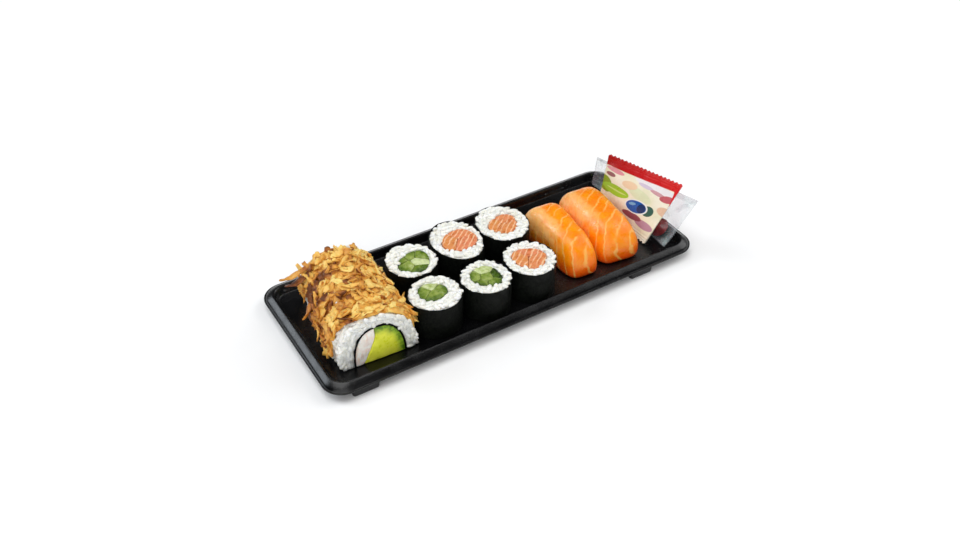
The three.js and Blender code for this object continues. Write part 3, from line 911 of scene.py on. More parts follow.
for index, roll in enumerate(ROW):
    over, under = inner_arch(90, NORI_GAP), inner_arch(90, NORI_GAP + NORI)
    wave = EDGE_SWAY * lumps(stood_up(over, index * 7.0), 3.0)
    rings = []
    for top, bottom, sway in zip(over, under, wave):
        line = np.linspace(-CUT + 0.1 + sway, CUT - 0.1 - sway, 8)
        upper = stood_up(np.tile(top, (8, 1)), line)
        lower = stood_up(np.tile(bottom, (8, 1)), line[::-1])
        rings.append(np.vstack([upper, lower]))
    points, faces = loft(rings)
    name = f"uramaki_{index + 1}"
    shape = (on_tray(points, roll), faces)
    piece(f"{name}_seaweed", shape, seaweed_paint, [f"{name}_nori"], sharp=50)

# %% [markdown]
# ## Crab stick and avocado
#
# Inside the arch, crab stick fills the left and avocado the rest. Both are soft, so their cut
# faces are slightly crowned and their rims round. A bevel modifier on an extruded outline could
# round the rims, but not crown the faces. The helper below lofts the outline instead, with
# rings that shrink towards the middle of each face.

# %% A soft slab from a flat outline


def slab(outline, low, high, rounding, crown=0.0, rings_in=6):
    """A closed form with the outline (n, 2), from low to high, with round rims and full faces."""
    centre = outline.mean(0)
    radius = np.linalg.norm(outline - centre, axis=1).mean()
    turn = np.linspace(0, math.pi / 2, 4)
    round_rim = 1 - rounding / radius * (1 - np.sin(turn))
    sizes = np.concatenate([np.linspace(0.04, 0.9, rings_in), round_rim])
    dips = np.concatenate([np.zeros(rings_in), rounding * (1 - np.cos(turn))])
    dips = dips - crown * (1 - sizes**2)
    sides = np.linspace(low + rounding, high - rounding, 5)[1:-1]
    levels = np.concatenate([low + dips, sides, (high - dips)[::-1]])
    scales = np.concatenate([sizes, np.ones(3), sizes[::-1]])
    rings = []
    for level, scale in zip(levels, scales):
        ring = centre + (outline - centre) * scale
        rings.append(np.column_stack([ring, np.full(len(ring), level)]))
    return loft(rings)


print("slab test:", triangles(slab(evenly(square, 40, closed=True), 0, 5, 0.5)), "triangles")

# %% The outlines of crab stick and avocado in the arch
SEAM = np.array([[-8.3, 0.0], [-4.2, 8.0], [-1.3, 15.0], [-1.7, 20.2]])  # between the two
SEAM_GAP = 0.15  # from the seam to either filling
FILLING_ARCH = inner_arch(200, 1.1)
SEAM_MEETS = np.argmin(np.linalg.norm(FILLING_ARCH - SEAM[-1], axis=1))


def filling_outline(side, count):
    """The left part of the arch (side -1) or its right part (side 1), as a closed outline."""
    right, left = FILLING_ARCH[: SEAM_MEETS + 1], FILLING_ARCH[: SEAM_MEETS - 1 : -1]
    arc = right if side > 0 else left
    seam = corners_cut(SEAM, 3) + [side * SEAM_GAP, 0]
    outline = evenly(np.vstack([arc, seam[::-1][1:]]), count, closed=True)
    return corners_cut(outline, 1, closed=True)[::2]


def cut_block(side, recess, crown, seed, count=72):
    """A filling that runs through a piece, with soft uneven cut faces. Points: x, y, z."""
    points, faces = slab(filling_outline(side, count), -CUT + recess, CUT - recess, 0.5, crown, 9)
    points = points[:, [0, 2, 1]]
    points[:, 1] += 0.28 * lumps(points, 4.5, seed) + 0.1 * lumps(points, 1.6, seed)
    points[:, 2] = np.maximum(points[:, 2], 0.0)
    return outwards(points, faces)


print("a filling:", triangles(cut_block(1, 0.25, 0.35, 3.0)), "triangles")

# %% Avocado: yellow in its middle, green towards the skin
avocado_paint, tree, shader = start_material(
    "avocado_flesh", light_sinks_in(0.2, (1.0, 0.9, 0.3), 1.2, specular=0.45)
)
flesh = clouded(tree, colour(246, 247, 82), colour(226, 232, 58), 3.0, softness=0.25)
rind = clouded(tree, colour(142, 180, 42), colour(88, 128, 22), 1.8)
tree.links.new(mixed(tree, mark_value(tree, "green"), flesh, rind), shader["Base Color"])
glossed(tree, shader, 0.25, 0.5, 3.0)
bumped(tree, shader, relief_height(tree, 0.9, 0.1), 0.08)

for index, roll in enumerate(ROW):
    points, faces = cut_block(1, recess=0.25, crown=0.35, seed=3.0 + index)
    skin = FILLING_ARCH[:SEAM_MEETS:4]
    from_skin = np.linalg.norm(points[:, None, [0, 2]] - skin[None], axis=2).min(1)
    marks = {"green": smoothstep(5.6, 0.9, from_skin + 1.1 * lumps(points, 3.5, index))}
    name = f"uramaki_{index + 1}"
    shape = (on_tray(points, roll), faces)
    piece(f"{name}_avocado_flesh", shape, avocado_paint, [f"{name}_avocado"], marks)

# %% Crab stick: pale, in fine strands that follow the stick's own roll
crab_paint, tree, shader = start_material(
    "crab_stick", light_sinks_in(0.3, (1.0, 0.6, 0.5), 1.5, specular=0.45)
)
pale = clouded(tree, colour(255, 249, 240), colour(250, 234, 224), 2.5)
strands = scaled_noise(tree, 1.0, stretch=(1.0, 0.15, 0.25))
pink_share = math_node(tree, "MULTIPLY", between(tree, strands, 0.5, 0.72), 0.5)
tree.links.new(mixed(tree, pink_share, pale, colour(248, 206, 178)), shader["Base Color"])
glossed(tree, shader, 0.25, 0.5, 2.0)
bumped(tree, shader, strands, 0.35)

for index, roll in enumerate(ROW):
    points, faces = cut_block(-1, recess=0.2, crown=0.25, seed=8.0 + index, count=60)
    points[:, 1] += 0.18 * lumps(points * [1.6, 0.4, 0.5], 1.5, index)
    name = f"uramaki_{index + 1}"
    shape = (on_tray(points, roll), faces)
    piece(f"{name}_crab_stick", shape, crab_paint, [f"{name}_surimi"])

# %% [markdown]
# ## Fried onion
#
# Crisp fried onion is hundreds of small curled strips, flakes and crumbs in batter, golden on
# their faces and brown at their rims. A bumpy cover with an onion texture would read as paint.
# So a lumpy crust follows the arch, ragged at its edges and dipping where two pieces were cut
# apart, and strips, flakes and crumbs are strewn over it, largest first. Each bit gets one tone,
# from pale to dark, and its rims are browner, as they fry first. Light and shade are painted
# into the tones as well: darker on the left flanks and in the dips between pieces, paler on the
# right flanks.

# %% Where the onion lies on each piece
# How low it hangs on the left at its front cut, its middle and its back cut, as shares of the
# arch, how thick it is beside the others, and what it gains low on its right, in mm.
HANGING = [
    {"left": (0.86, 0.95, 0.93), "thickness": 1.0, "gain": 0.7},
    {"left": (0.92, 0.90, 0.80), "thickness": 1.0, "gain": 1.0},
    {"left": (0.81, 0.88, 0.93), "thickness": 0.7, "gain": 0.3},
]
RIGHT_EDGE = 0.15  # the share of the arch where it starts, up from the right foot
FRONT_INSET, LEFT_INSET = 1.7, 6.4  # how far it leaves the front rice bare, and more at its left
OVERHANG_BACK = 0.8  # past the back piece's back cut


def along_line(values, third=0.0):
    """Values as points on a straight line, to take noise from."""
    return np.column_stack([values, values * 0, values * 0 + third])


def onion_reach(index, y):
    """Where the layer ends over y: shares of the arch, near its right and its left foot."""
    ragged = lumps(along_line(y, 4.0), 3.0)
    left = np.interp(y, [-CUT, 0.0, CUT], HANGING[index]["left"])
    return RIGHT_EDGE + 0.03 * ragged, left + 0.02 * ragged


def onion_span(index, level):
    """Where the layer starts and ends in y, at levels from its right edge, 0, to its left, 1."""
    ragged = 0.7 * lumps(along_line(level, index), 0.06)
    front = np.full(len(level), -CUT + 0.1)
    back = np.full(len(level), CUT - 0.1)
    if index == 0:
        front = -CUT + FRONT_INSET + LEFT_INSET * smoothstep(0.5, 0.85, level) + ragged
    if index == len(ROW) - 1:
        back = CUT + OVERHANG_BACK + ragged
    return front, back


print("the front piece's onion starts in y at:", onion_span(0, np.array([0.0, 1.0]))[0].round(1))

# %% The crust under the bits
ONION_THIN, ONION_THICK = 0.9, 2.4


def layer(index, level, along):
    """Points and normals on the layer's top, in the roll's own frame.

    `level` runs from its right edge, 0, to its left, 1, and `along` from its front to its back.
    """
    line = outer_arch(ROW[index], 2 * STEPS)
    front, back = onion_span(index, level)
    y = front + (back - front) * along
    right, left = onion_reach(index, y)
    share = right + (left - right) * level
    last = len(line) - 1
    pick = np.clip(share * last, 0, last).astype(int)
    normals = stood_up(arch_normals(line)[pick], 0.0)
    base = stood_up(line[pick], y)

    # Lumps, large and small, then this piece's own thickness and its gain low on the right.
    rise = 0.5 + 0.6 * lumps(base, 5.5, 2.0 + index) + 0.35 * lumps(base, 2.0, 5.0)
    height = ONION_THIN + (ONION_THICK - ONION_THIN) * rise
    own = HANGING[index]
    height = own["thickness"] * height + own["gain"] * np.exp(-(((level - 0.16) / 0.12) ** 2))

    # It thins out over its last 3 mm, and dips where two pieces were cut apart.
    edge = line_length(line) * (left - right) * np.minimum(level, 1 - level)
    if index == 0:
        edge = np.minimum(edge, y - front + 0.4)
    if index == len(ROW) - 1:
        edge = np.minimum(edge, back - y + 0.8)
    beside_cut = np.exp(-(((CUT - np.abs(y)) / 1.6) ** 2))
    height = height * (0.25 + 0.75 * smoothstep(0.0, 3.0, edge)) * (1 - 0.45 * beside_cut)
    return base + normals * (0.3 + height[:, None]), base + normals * 0.1, normals


def onion_crust(index):
    """The lumpy layer itself, lofted over the arch from its right edge to its left edge."""
    along = np.linspace(0, 1, 32)
    rings = []
    for level in np.linspace(0, 1, 64):
        top, under, _ = layer(index, np.full(len(along), level), along)
        rings.append(np.vstack([top, under[::-1]]))
    return loft(rings)


print("crust:", triangles(onion_crust(0)), "triangles")

# %% Strips, flakes and crumbs
STRIP_LENGTH = 12.0  # of the first strip, which the loose ones are made from


def onion_bit(length, width, thick, curl, twist, seed, rows=9, columns=5):
    """A curled, twisted, blistered bit of onion, with its shade at each point: 1 is browner."""
    s, c = np.linspace(-1, 1, rows)[:, None], np.linspace(-1, 1, columns)[None, :]
    half = width / 2 * (1 - 0.5 * np.abs(s) ** 2.5) * (1 + 0.22 * np.sin(s * 5 + seed))
    x = s * length / 2 + 0 * c
    y, z = c * half, curl * s * s + 0.18 * width * c * c * math.cos(seed)
    full = thick / 2 * (1 - 0.65 * c * c) * (1 - 0.35 * s * s)
    turn = twist * s
    sheets = []
    for side in (1, -1):
        deep = z + side * full
        y_turned = y * np.cos(turn) - deep * np.sin(turn)
        z_turned = y * np.sin(turn) + deep * np.cos(turn)
        sheets.append(np.stack([x, y_turned, z_turned], -1))
    rings = np.concatenate([sheets[0], sheets[1][:, ::-1]], axis=1)
    points, faces = loft(rings)
    rim = np.abs(points[:, 0]) / (length / 2) * 0.6 + np.abs(points[:, 1]) / width
    blisters = 0.24 * min(thick, 1.3)
    return (lumpy(points, 1.3, blisters, seed), faces), 0.26 * rim - 0.13


STRIPS = [
    onion_bit(STRIP_LENGTH, 3.4, 1.2, 1.5, 0.5, 1.0, 13, 6),
    onion_bit(9.0, 3.8, 1.3, -1.0, -0.7, 2.0, 11, 6),
    onion_bit(13.0, 2.7, 1.1, 2.2, 0.9, 3.0, 13, 5),
    onion_bit(10.0, 3.1, 1.4, 0.6, -0.3, 4.0, 11, 5),
]
FLAKES = [
    onion_bit(5.8, 4.6, 1.0, 0.8, 0.2, 5.0, 8, 6),
    onion_bit(6.8, 3.9, 1.1, -0.7, 0.4, 6.0, 8, 6),
    onion_bit(4.6, 3.9, 1.2, 0.5, -0.4, 7.0, 7, 5),
]
CRUMBS = [
    onion_bit(2.9, 2.4, 1.4, 0.2, 0.3, 8.0, 6, 4),
    onion_bit(2.2, 2.0, 1.3, 0.0, 0.2, 9.0, 5, 4),
]
for kind, bits in (("strip", STRIPS), ("flake", FLAKES), ("crumb", CRUMBS)):
    print(f"a {kind}:", triangles(bits[0][0]), "triangles")

# %% Strewing them over the crust
BIT_TRIES = 900
BIT_TONE, BIT_TONE_VARIES = 0.37, 0.25


def strewn(bits, index, draw, inset, spacing, lift, tilt):
    """Bits strewn over a piece's layer, at least `spacing` apart and `inset` from its cuts."""
    margin = inset / CUT / 2
    level = draw.uniform(0.02, 0.98, BIT_TRIES)
    along = draw.uniform(margin, 1 - margin, BIT_TRIES)
    places, _, normals = layer(index, level, along)
    kept = spread(places, spacing)
    places, normals = places[kept], normals[kept]
    axes = lying(normals, draw, tilt)
    sizes = np.ones((len(kept), 3)) * draw.uniform(0.75, 1.15, (len(kept), 1))
    tones = np.clip(draw.normal(BIT_TONE, BIT_TONE_VARIES, len(kept)), 0, 1)
    places = places + normals * draw.uniform(-0.2, lift, (len(kept), 1))
    shapes, shades = zip(*bits)
    return scattered(shapes, places, axes, sizes, tones, shades)


def stray(start, end, width, tone):
    """A loose strip from one point to another."""
    along = unit(end - start)
    across = unit(np.cross([0.0, 0.0, 1.0], along))
    axes = np.stack([along, across, np.cross(along, across)])[None]
    size = np.array([[np.linalg.norm(end - start) / STRIP_LENGTH, width, 1.0]])
    strip, shades = STRIPS[0]
    return scattered([strip], (start + end)[None] / 2, axes, size, np.array([tone]), [shades])


trial = strewn(CRUMBS, 1, np.random.default_rng(1), 0.8, 2.9, 0.35, 0.5)
print("crumbs on a piece:", triangles(trial[0]) // triangles(CRUMBS[0][0]))

# %% Where the onion is browner (+) or paler (-)
# Browner takes in fried spots and painted shade on the left flanks. Paler takes in pale spots and
# painted light on the right flanks.
# piece, place in its frame, reach in mm, by how much
FRIED_SHADED_AND_LIT = [
    (2, (-11.5, -7.2, 24.4), 5.0, 0.6),
    (2, (-4.1, -4.1, 27.2), 3.6, 0.34),
    (2, (-17.7, -6.3, 17.6), 5.0, 0.55),
    (1, (-17.5, 8.0, 18.5), 6.0, 0.55),
    (2, (15.7, 4.4, 19.5), 7.0, -0.32),
    (2, (-3.0, 6.0, 27.5), 5.0, -0.12),
    (1, (-18.4, -1.6, 20.6), 4.5, 0.6),
    (1, (-20.5, 4.0, 12.0), 6.0, 0.35),
    (1, (14.0, 0.0, 22.0), 7.0, -0.26),
    (1, (2.0, 3.0, 28.0), 4.0, 0.15),
    (0, (-4.4, 7.3, 28.8), 3.0, 0.34),
    (0, (-11.2, -4.8, 27.4), 3.0, 0.3),
    (0, (-18.5, 8.3, 21.4), 4.0, -0.2),
    (0, (8.0, -2.0, 26.5), 6.0, -0.12),
]


def browned_shaded_and_lit(index, points, tones):
    """Tones with the piece's fried and pale spots, its painted shade and its painted light added."""
    for piece_index, place, reach, amount in FRIED_SHADED_AND_LIT:
        if piece_index == index:
            away = np.linalg.norm(points - place, axis=1) / reach
            tones = tones + amount * np.exp(-(away**2))
    # Painted shade: darker in the dips between pieces, towards the left.
    beside_cut = np.exp(-(((CUT - np.abs(points[:, 1])) / 1.8) ** 2))
    inner_cut = (index > 0) * (points[:, 1] < 0) + (index < len(ROW) - 1) * (points[:, 1] > 0)
    tones = tones + 0.3 * beside_cut * inner_cut * smoothstep(6, -12, points[:, 0])
    # Painted shade: the whole left flank is darker.
    tones = tones + 0.14 * smoothstep(-8, -18, points[:, 0])
    return np.clip(tones, 0, 1)


print("browner and paler places:", len(FRIED_SHADED_AND_LIT))

# %% The onion's material: tone decides how brown it is fried, and carries painted shade and light
BROWNING = [
    (0.0, colour(252, 216, 126)),
    (0.3, colour(240, 186, 88)),
    (0.55, colour(216, 148, 54)),
    (0.78, colour(164, 94, 22)),
    (1.0, colour(104, 52, 8)),
]

onion_paint, tree, shader = start_material(
    "fried_onion", light_sinks_in(0.2, (1.0, 0.55, 0.2), 1.2, specular=0.4)
)
speckles, patches = swaying(tree, 1.3, detail=3.0), swaying(tree, 7.0, detail=1.0)
fried = math_node(tree, "MULTIPLY_ADD", speckles, 0.45, mark_value(tree, "tone"))
fried = math_node(tree, "MULTIPLY_ADD", patches, 0.7, fried)
tree.links.new(stepped(tree, fried, BROWNING), shader["Base Color"])
glossed(tree, shader, 0.32, 0.6, 2.0)
bumped(tree, shader, relief_height(tree, 0.55, 0.6), 0.14)
print("material:", onion_paint.name)

# %% Onion over the three pieces, and two loose strips
# The strips came loose at the back piece's left. Each has its ends, its width as a share of the
# first strip's, and its tone.
STRAYS = [
    (np.array([-16.0, 3.5, 23.0]), np.array([-29.5, 7.0, 15.5]), 1.1, 0.45),
    (np.array([-15.5, 1.0, 21.0]), np.array([-27.5, 4.5, 12.8]), 1.3, 0.85),
]

for index, roll in enumerate(ROW):
    draw = np.random.default_rng(40 + index)
    crust = onion_crust(index)
    parts = [(crust, 0.38 + 0.35 * lumps(crust[0], 3.0, index))]
    parts.append(strewn(STRIPS, index, draw, inset=2.4, spacing=5.0, lift=0.6, tilt=0.16))
    parts.append(strewn(FLAKES, index, draw, inset=1.6, spacing=3.5, lift=0.45, tilt=0.22))
    parts.append(strewn(CRUMBS, index, draw, inset=0.8, spacing=2.9, lift=0.35, tilt=0.5))
    if index == len(ROW) - 1:
        parts += [stray(*ends_and_looks) for ends_and_looks in STRAYS]
    (points, faces), tones = dressed(parts)
    name = f"uramaki_{index + 1}"
    shape = (on_tray(points, roll), faces)
    marks = {"tone": browned_shaded_and_lit(index, points, tones)}
    piece(f"{name}_fried_onion", shape, onion_paint, [f"{name}_onion"], marks)

# %% [markdown]
# ## The thin rolls
#
# A thin roll is one sheet of seaweed wrapped round rice and a few sticks of cucumber or salmon,
# cut and stood on end. A cylinder with a painted top would show none of that. Here the seaweed
# is one long sheet that overlaps itself at its seam, as a rolled one does, and its top edge is
# uneven. The rice swells over that edge.

# %% The thin rolls' measures and outlines
# rx and ry are half the roll's width and depth. Turn, in radians, sets how it is out of round.
THIN_ROLLS = [
    {"food": "cucumber", "x": -39.4, "y": 7.0, "rx": 13.7, "ry": 14.4, "height": 18.9, "turn": 0.5},
    {"food": "cucumber", "x": -41.3, "y": -21.3, "rx": 14.1, "ry": 13.5, "height": 18.4, "turn": 2.2},
    {"food": "cucumber", "x": -13.6, "y": -24.0, "rx": 13.2, "ry": 13.4, "height": 18.6, "turn": 3.6},
    {"food": "salmon", "x": -11.5, "y": 8.8, "rx": 13.8, "ry": 17.4, "height": 19.4, "turn": 1.1},
    {"food": "salmon", "x": 17.2, "y": 9.4, "rx": 14.3, "ry": 16.2, "height": 18.8, "turn": 0.3},
    {"food": "salmon", "x": 13.6, "y": -22.7, "rx": 13.6, "ry": 14.9, "height": 18.5, "turn": 2.7},
]
# The space for the filling: how far off the roll's middle, and its mean radius.
HOLES = [
    (0.9, -2.0, 8.5),
    (-0.5, 2.0, 7.1),
    (0.8, 0.7, 8.1),
    (1.5, -0.8, 9.2),
    (0.4, -0.7, 8.2),
    (0.2, 0.2, 8.6),
]


def roll_radius(roll, angle):
    """The outside of a thin roll: an oval, pressed a little out of round."""
    oval = 1 / np.hypot(np.cos(angle) / roll["rx"], np.sin(angle) / roll["ry"])
    return oval * (1 + 0.012 * np.sin(3 * angle + roll["turn"] * 5) - 0.006)


def hole_line(roll, hole, angle, out=0.0):
    """The edge of the filling, uneven as its sticks press into the rice."""
    turn = roll["turn"]
    uneven = 1 + 0.07 * np.sin(2 * angle + turn) + 0.05 * np.sin(3 * angle - turn * 2)
    radius = hole[2] * uneven + out
    return np.stack([hole[0] + radius * np.cos(angle), hole[1] + radius * np.sin(angle)], -1)


def round_line(roll, angle, inwards=0.0):
    """The outside of a thin roll, or a line `inwards` of it, as (x, y)."""
    radius = roll_radius(roll, angle) - inwards
    return np.stack([radius * np.cos(angle), radius * np.sin(angle)], -1)


for index, roll in enumerate(THIN_ROLLS):
    print(f"hosomaki_{index + 1}:", roll["food"], "about", 2 * roll["rx"], "by", 2 * roll["ry"], "mm")

# %% The seaweed sheets, wrapped round with an overlap
OVERLAP = 0.35  # radians beyond a full turn
SHEET_LEVELS = np.array([0.0, 0.3, 0.55, 0.8, 0.95, 1.0])  # as shares of its height
TOP_SWAY, WRINKLE = 0.3, 0.16  # how uneven its top edge and its side are


def noise_round(angle, size, z):
    """Noise at a place on a circle, so that it meets itself after a full turn."""
    return noise.noise(Vector((size * math.cos(angle), size * math.sin(angle), z)))


for index, roll in enumerate(THIN_ROLLS):
    start = roll["turn"] + 4.0
    rings = []
    for angle in np.linspace(start, start + 2 * math.pi + OVERLAP, 130):
        tucked = (NORI + 0.1) * smoothstep(start + 2 * OVERLAP, start + OVERLAP * 0.7, angle)
        levels = SHEET_LEVELS * (roll["height"] + TOP_SWAY * noise_round(angle, 2.2, index * 5.0))
        outside, inside = [], []
        for z in levels:
            inset = tucked + 0.05 + WRINKLE * noise_round(angle, 9, z * 0.22 + index * 9)
            outside.append((*round_line(roll, angle, inset), z))
            inside.append((*round_line(roll, angle, inset + NORI), z))
        rings.append(np.array(outside + inside[::-1]))
    points, faces = loft(rings)
    shape = (on_tray(points, roll), faces)
    name = f"hosomaki_{index + 1}"
    piece(f"{name}_seaweed", shape, seaweed_paint, [f"{name}_nori"], sharp=45)

# %% The core of a thin roll's rice


def ring_core(roll, hole):
    """Rice between seaweed and filling, in sections round the roll: full on top."""
    rings = []
    for angle in np.linspace(0, 2 * math.pi, 64, endpoint=False):
        outside, inside = round_line(roll, angle, NORI + 0.1), hole_line(roll, hole, angle, 0.1)
        share = np.array([0.0, 0.15, 0.4, 0.65, 0.85, 1.0])
        top = roll["height"] - 0.6 + 0.5 * np.sin(share * math.pi) - 0.6 * share**6
        line = inside + (outside - inside) * share[:, None]
        section = [(*inside, 0.0), (*inside, 6.0)] + [(*p, z) for p, z in zip(line, top)]
        section += [(*outside, 10.0), (*outside, 0.0)]
        rings.append(section)
    points, faces = loft(rings, closed_ends=False)
    shift = lumpy(points, 2.2, 0.4, roll["x"]) - points
    return points + shift * smoothstep(10, 14, points[:, 2:]), faces


print("core:", triangles(ring_core(THIN_ROLLS[0], HOLES[0])), "triangles")

# %% Grains on top of the thin rolls
RING_TRIES, RING_SPACING = 900, 2.1
MEAN_RADIUS = 13.5
INSIDE_RIM = 0.7  # how far inside the roll's outline the grains stay below the seaweed's edge
OVER_RIM = 0.8  # how much further out they may go above it
SQUEEZE = 0.25  # how much of a grain that is past the limit stays there


def squeezed_in(points, roll):
    """Grains pressed in by the seaweed. Above its edge they swell a little over it."""
    reach = np.hypot(points[:, 0], points[:, 1])
    over_rim = smoothstep(-0.5, 0.15, points[:, 2] - roll["height"])
    outline = roll_radius(roll, np.arctan2(points[:, 1], points[:, 0]))
    limit = outline - INSIDE_RIM + OVER_RIM * over_rim
    pressed = np.where(reach > limit, limit + (reach - limit) * SQUEEZE * over_rim, reach)
    points[:, :2] *= (pressed / reach)[:, None]
    return points


def ring_grains(roll, hole, draw):
    """Grains over the ring, lying round it and leaning outwards towards its rim."""
    angle = draw.uniform(0, 2 * math.pi, RING_TRIES)
    share = draw.uniform(0.0, 1.0, RING_TRIES)[:, None] ** 0.8
    inside, outside = hole_line(roll, hole, angle, 0.9), round_line(roll, angle, 0.9)
    flat = inside + (outside - inside) * share
    places = np.column_stack([flat, roll["height"] + 0.25 + 0.45 * np.sin(share[:, 0] * math.pi)])
    kept = spread(places, RING_SPACING)
    level = np.zeros(len(kept))
    away = np.column_stack([outside[kept] / MEAN_RADIUS, level])
    normals = unit(np.array([0.0, 0.0, 1.0]) + 0.5 * away * (share[kept] - 0.2))
    around = np.column_stack([-np.sin(angle[kept]), np.cos(angle[kept]), level])
    (points, faces), tones = grains_on(places[kept], normals, draw, 0.85, around, 0.2, 0.9)
    return (squeezed_in(points, roll), faces), tones


for index, (roll, hole) in enumerate(zip(THIN_ROLLS, HOLES)):
    draw = np.random.default_rng(70 + index)
    parts = [with_tone(ring_core(roll, hole), CORE_TONE), ring_grains(roll, hole, draw)]
    (points, faces), tones = dressed(parts)
    shape = (on_tray(points, roll), faces)
    name = f"hosomaki_{index + 1}"
    piece(f"{name}_grains", shape, rice_paint, [f"{name}_rice"], {"tone": tones})

# %% [markdown]
# ## The sticks inside the thin rolls
#
# Cucumber and salmon go in as cut sticks and are squeezed together by the rolling. The sticks
# could be boxes pushed into each other, but squeezed food has no gaps and no overlaps. Sharing
# out the space by which stick is nearest gives just that: each stick's outline is cut from the
# hole by the lines half way to its neighbours, then shrunk a little and rounded.

# %% The sticks in each roll
# A stick's middle (x, y), its tone, and which way its skin faces, in degrees.
# Cucumber: 0 is pale flesh and 1 is skin. Salmon: 0 is orange and 1 is coral, without skin.
STICKS = [
    [
        (-4.4, 3.6, 0.5, 165),
        (1.4, 4.4, 0.4, 85),
        (6.4, 1.4, 0.45, 20),
        (3.0, -2.8, 0.0, None),
        (0.6, -8.2, 0.6, 270),
        (-3.4, -3.2, 0.3, 200),
    ],
    [(-4.6, 4.0, 0.45, 160), (1.0, 6.8, 0.1, None), (4.6, 1.6, 0.45, 345), (-0.6, -1.4, 0.4, 250)],
    [
        (-4.8, 3.2, 0.35, 150),
        (1.8, 5.8, 0.1, None),
        (6.8, -0.6, 0.85, 0),
        (0.8, 0.2, 0.4, None),
        (-4.4, -3.8, 0.45, 205),
        (2.0, -5.8, 0.5, 280),
    ],
    [(-3.4, 1.0, 0.1, None), (3.4, 4.4, 0.6, None), (3.0, -4.0, 0.9, None)],
    [(-3.4, 2.2, 0.1, None), (3.2, 3.2, 0.5, None), (1.0, -4.2, 0.25, None)],
    [(-4.0, 1.4, 0.15, None), (2.4, 5.0, 0.8, None), (2.0, -2.8, 0.5, None)],
]
print("sticks in each roll:", [len(sticks) for sticks in STICKS])

# %% Sharing out the hole between sticks
STICK_GAP = 0.07  # from a stick to the line half way to its neighbour


def clipped(outline, point, normal):
    """The part of a closed outline that lies behind a line through `point`."""
    side = (outline - point) @ normal
    kept = []
    for here, there, a, b in zip(outline, np.roll(outline, -1, axis=0), side, np.roll(side, -1)):
        if a <= 0:
            kept.append(here)
        if a * b < 0:
            kept.append(here + (there - here) * a / (a - b))
    return np.array(kept)


def stick_outline(hole_edge, sticks, which):
    """The outline of one stick among its neighbours."""
    here = np.array(sticks[which][:2])
    outline = hole_edge
    for other, stick in enumerate(sticks):
        if other != which:
            there = np.array(stick[:2])
            outline = clipped(outline, (here + there) / 2, there - here)
    outline = corners_cut(evenly(outline, 26, closed=True), 1, closed=True)[::2]
    centre = outline.mean(0)
    radius = np.linalg.norm(outline - centre, axis=1, keepdims=True)
    return centre + (outline - centre) * (1 - STICK_GAP / radius)


hole_edge = hole_line(THIN_ROLLS[0], HOLES[0], np.linspace(0, 2 * math.pi, 90, endpoint=False))
print("points of a stick's outline:", len(stick_outline(hole_edge, STICKS[0], 0)))

# %% The sticks of one roll as a shape
SKIN_DEPTH = 0.55  # how much darker a stick's skin side is than its flesh
STICK_CROWN = 0.25  # how full its cut end is


def filling(index):
    """All the sticks of one thin roll as one shape, with their tones."""
    roll, hole, sticks = THIN_ROLLS[index], HOLES[index], STICKS[index]
    edge = hole_line(roll, hole, np.linspace(0, 2 * math.pi, 90, endpoint=False), -0.1)
    draw = np.random.default_rng(90 + index)
    parts = []
    for which, (_, _, tone, skin_turn) in enumerate(sticks):
        outline = stick_outline(edge, sticks, which)
        centre = outline.mean(0)
        reach = np.linalg.norm(outline - centre, axis=1).max()
        top = roll["height"] + draw.uniform(-0.4, 0.4)
        points, faces = slab(outline, 0.0, top, 0.3, STICK_CROWN)
        lean = draw.normal(0, 0.04, 2)
        upper = smoothstep(10, 15, points[:, 2])
        points[:, 2] += upper * ((points[:, :2] - centre) @ lean)
        points[:, 2] += upper * (0.2 * lumps(points, 2.2, which + 3.0 * index))
        tones = np.full(len(points), tone)
        if skin_turn is not None:
            turn = math.radians(skin_turn)
            out = np.array([math.cos(turn), math.sin(turn)])
            tones += SKIN_DEPTH * smoothstep(-0.3, 1.0, (points[:, :2] - centre) @ out / reach)
        parts.append(((points, faces), np.clip(tones, 0, 1)))
    return dressed(parts)


print("the first roll's sticks:", triangles(filling(0)[0]), "triangles")

# %% Cucumber
GREENS = [
    (0.0, colour(206, 216, 162)),
    (0.3, colour(152, 168, 86)),
    (0.55, colour(112, 134, 50)),
    (0.8, colour(76, 102, 30)),
    (1.0, colour(38, 58, 10)),
]

cucumber_paint, tree, shader = start_material(
    "cucumber", light_sinks_in(0.25, (0.7, 1.0, 0.4), 1.2, specular=0.5)
)
skin = math_node(tree, "MULTIPLY_ADD", swaying(tree, 2.2), 0.7, mark_value(tree, "tone"))
tree.links.new(stepped(tree, skin, GREENS), shader["Base Color"])
glossed(tree, shader, 0.12, 0.4, 2.0)
bumped(tree, shader, relief_height(tree, 0.7, 0.4), 0.12)
print("material:", cucumber_paint.name)

# %% Salmon in sticks
SALMON_DEPTH = light_sinks_in(0.25, (1.0, 0.35, 0.15), 1.4, specular=0.5)

stick_paint, tree, shader = start_material("salmon_stick", SALMON_DEPTH)
coral = mixed(tree, mark_value(tree, "tone"), colour(218, 142, 78), colour(224, 136, 98))
lines = {
    "Flesh": clouded(tree, coral, colour(194, 104, 50), 2.6, level=0.4),
    "Fat": colour(240, 192, 152),
    "Pitch": 2.6,
    "Width": 0.4,
    "Wobble": 2.4,
    "Turn": 0.9,
}
tree.links.new(placed(tree, marbling, lines)["Color"], shader["Base Color"])
glossed(tree, shader, 0.15, 0.42, 2.0)
bumped(tree, shader, relief_height(tree, 0.8, 0.3), 0.12)
print("material:", stick_paint.name)

# %% The sticks as pieces
STICK_NODES = {"cucumber": 3, "salmon": 2}  # how many solids the frame has in one roll
STICK_PAINTS = {"cucumber": cucumber_paint, "salmon": stick_paint}

for index, roll in enumerate(THIN_ROLLS):
    (points, faces), tones = filling(index)
    food = roll["food"]
    name = f"hosomaki_{index + 1}_{food}"
    nodes = [f"{name}_{k + 1}" for k in range(STICK_NODES[food])]
    shape = (on_tray(points, roll), faces)
    piece(f"{name}_sticks", shape, STICK_PAINTS[food], nodes, {"tone": tones})

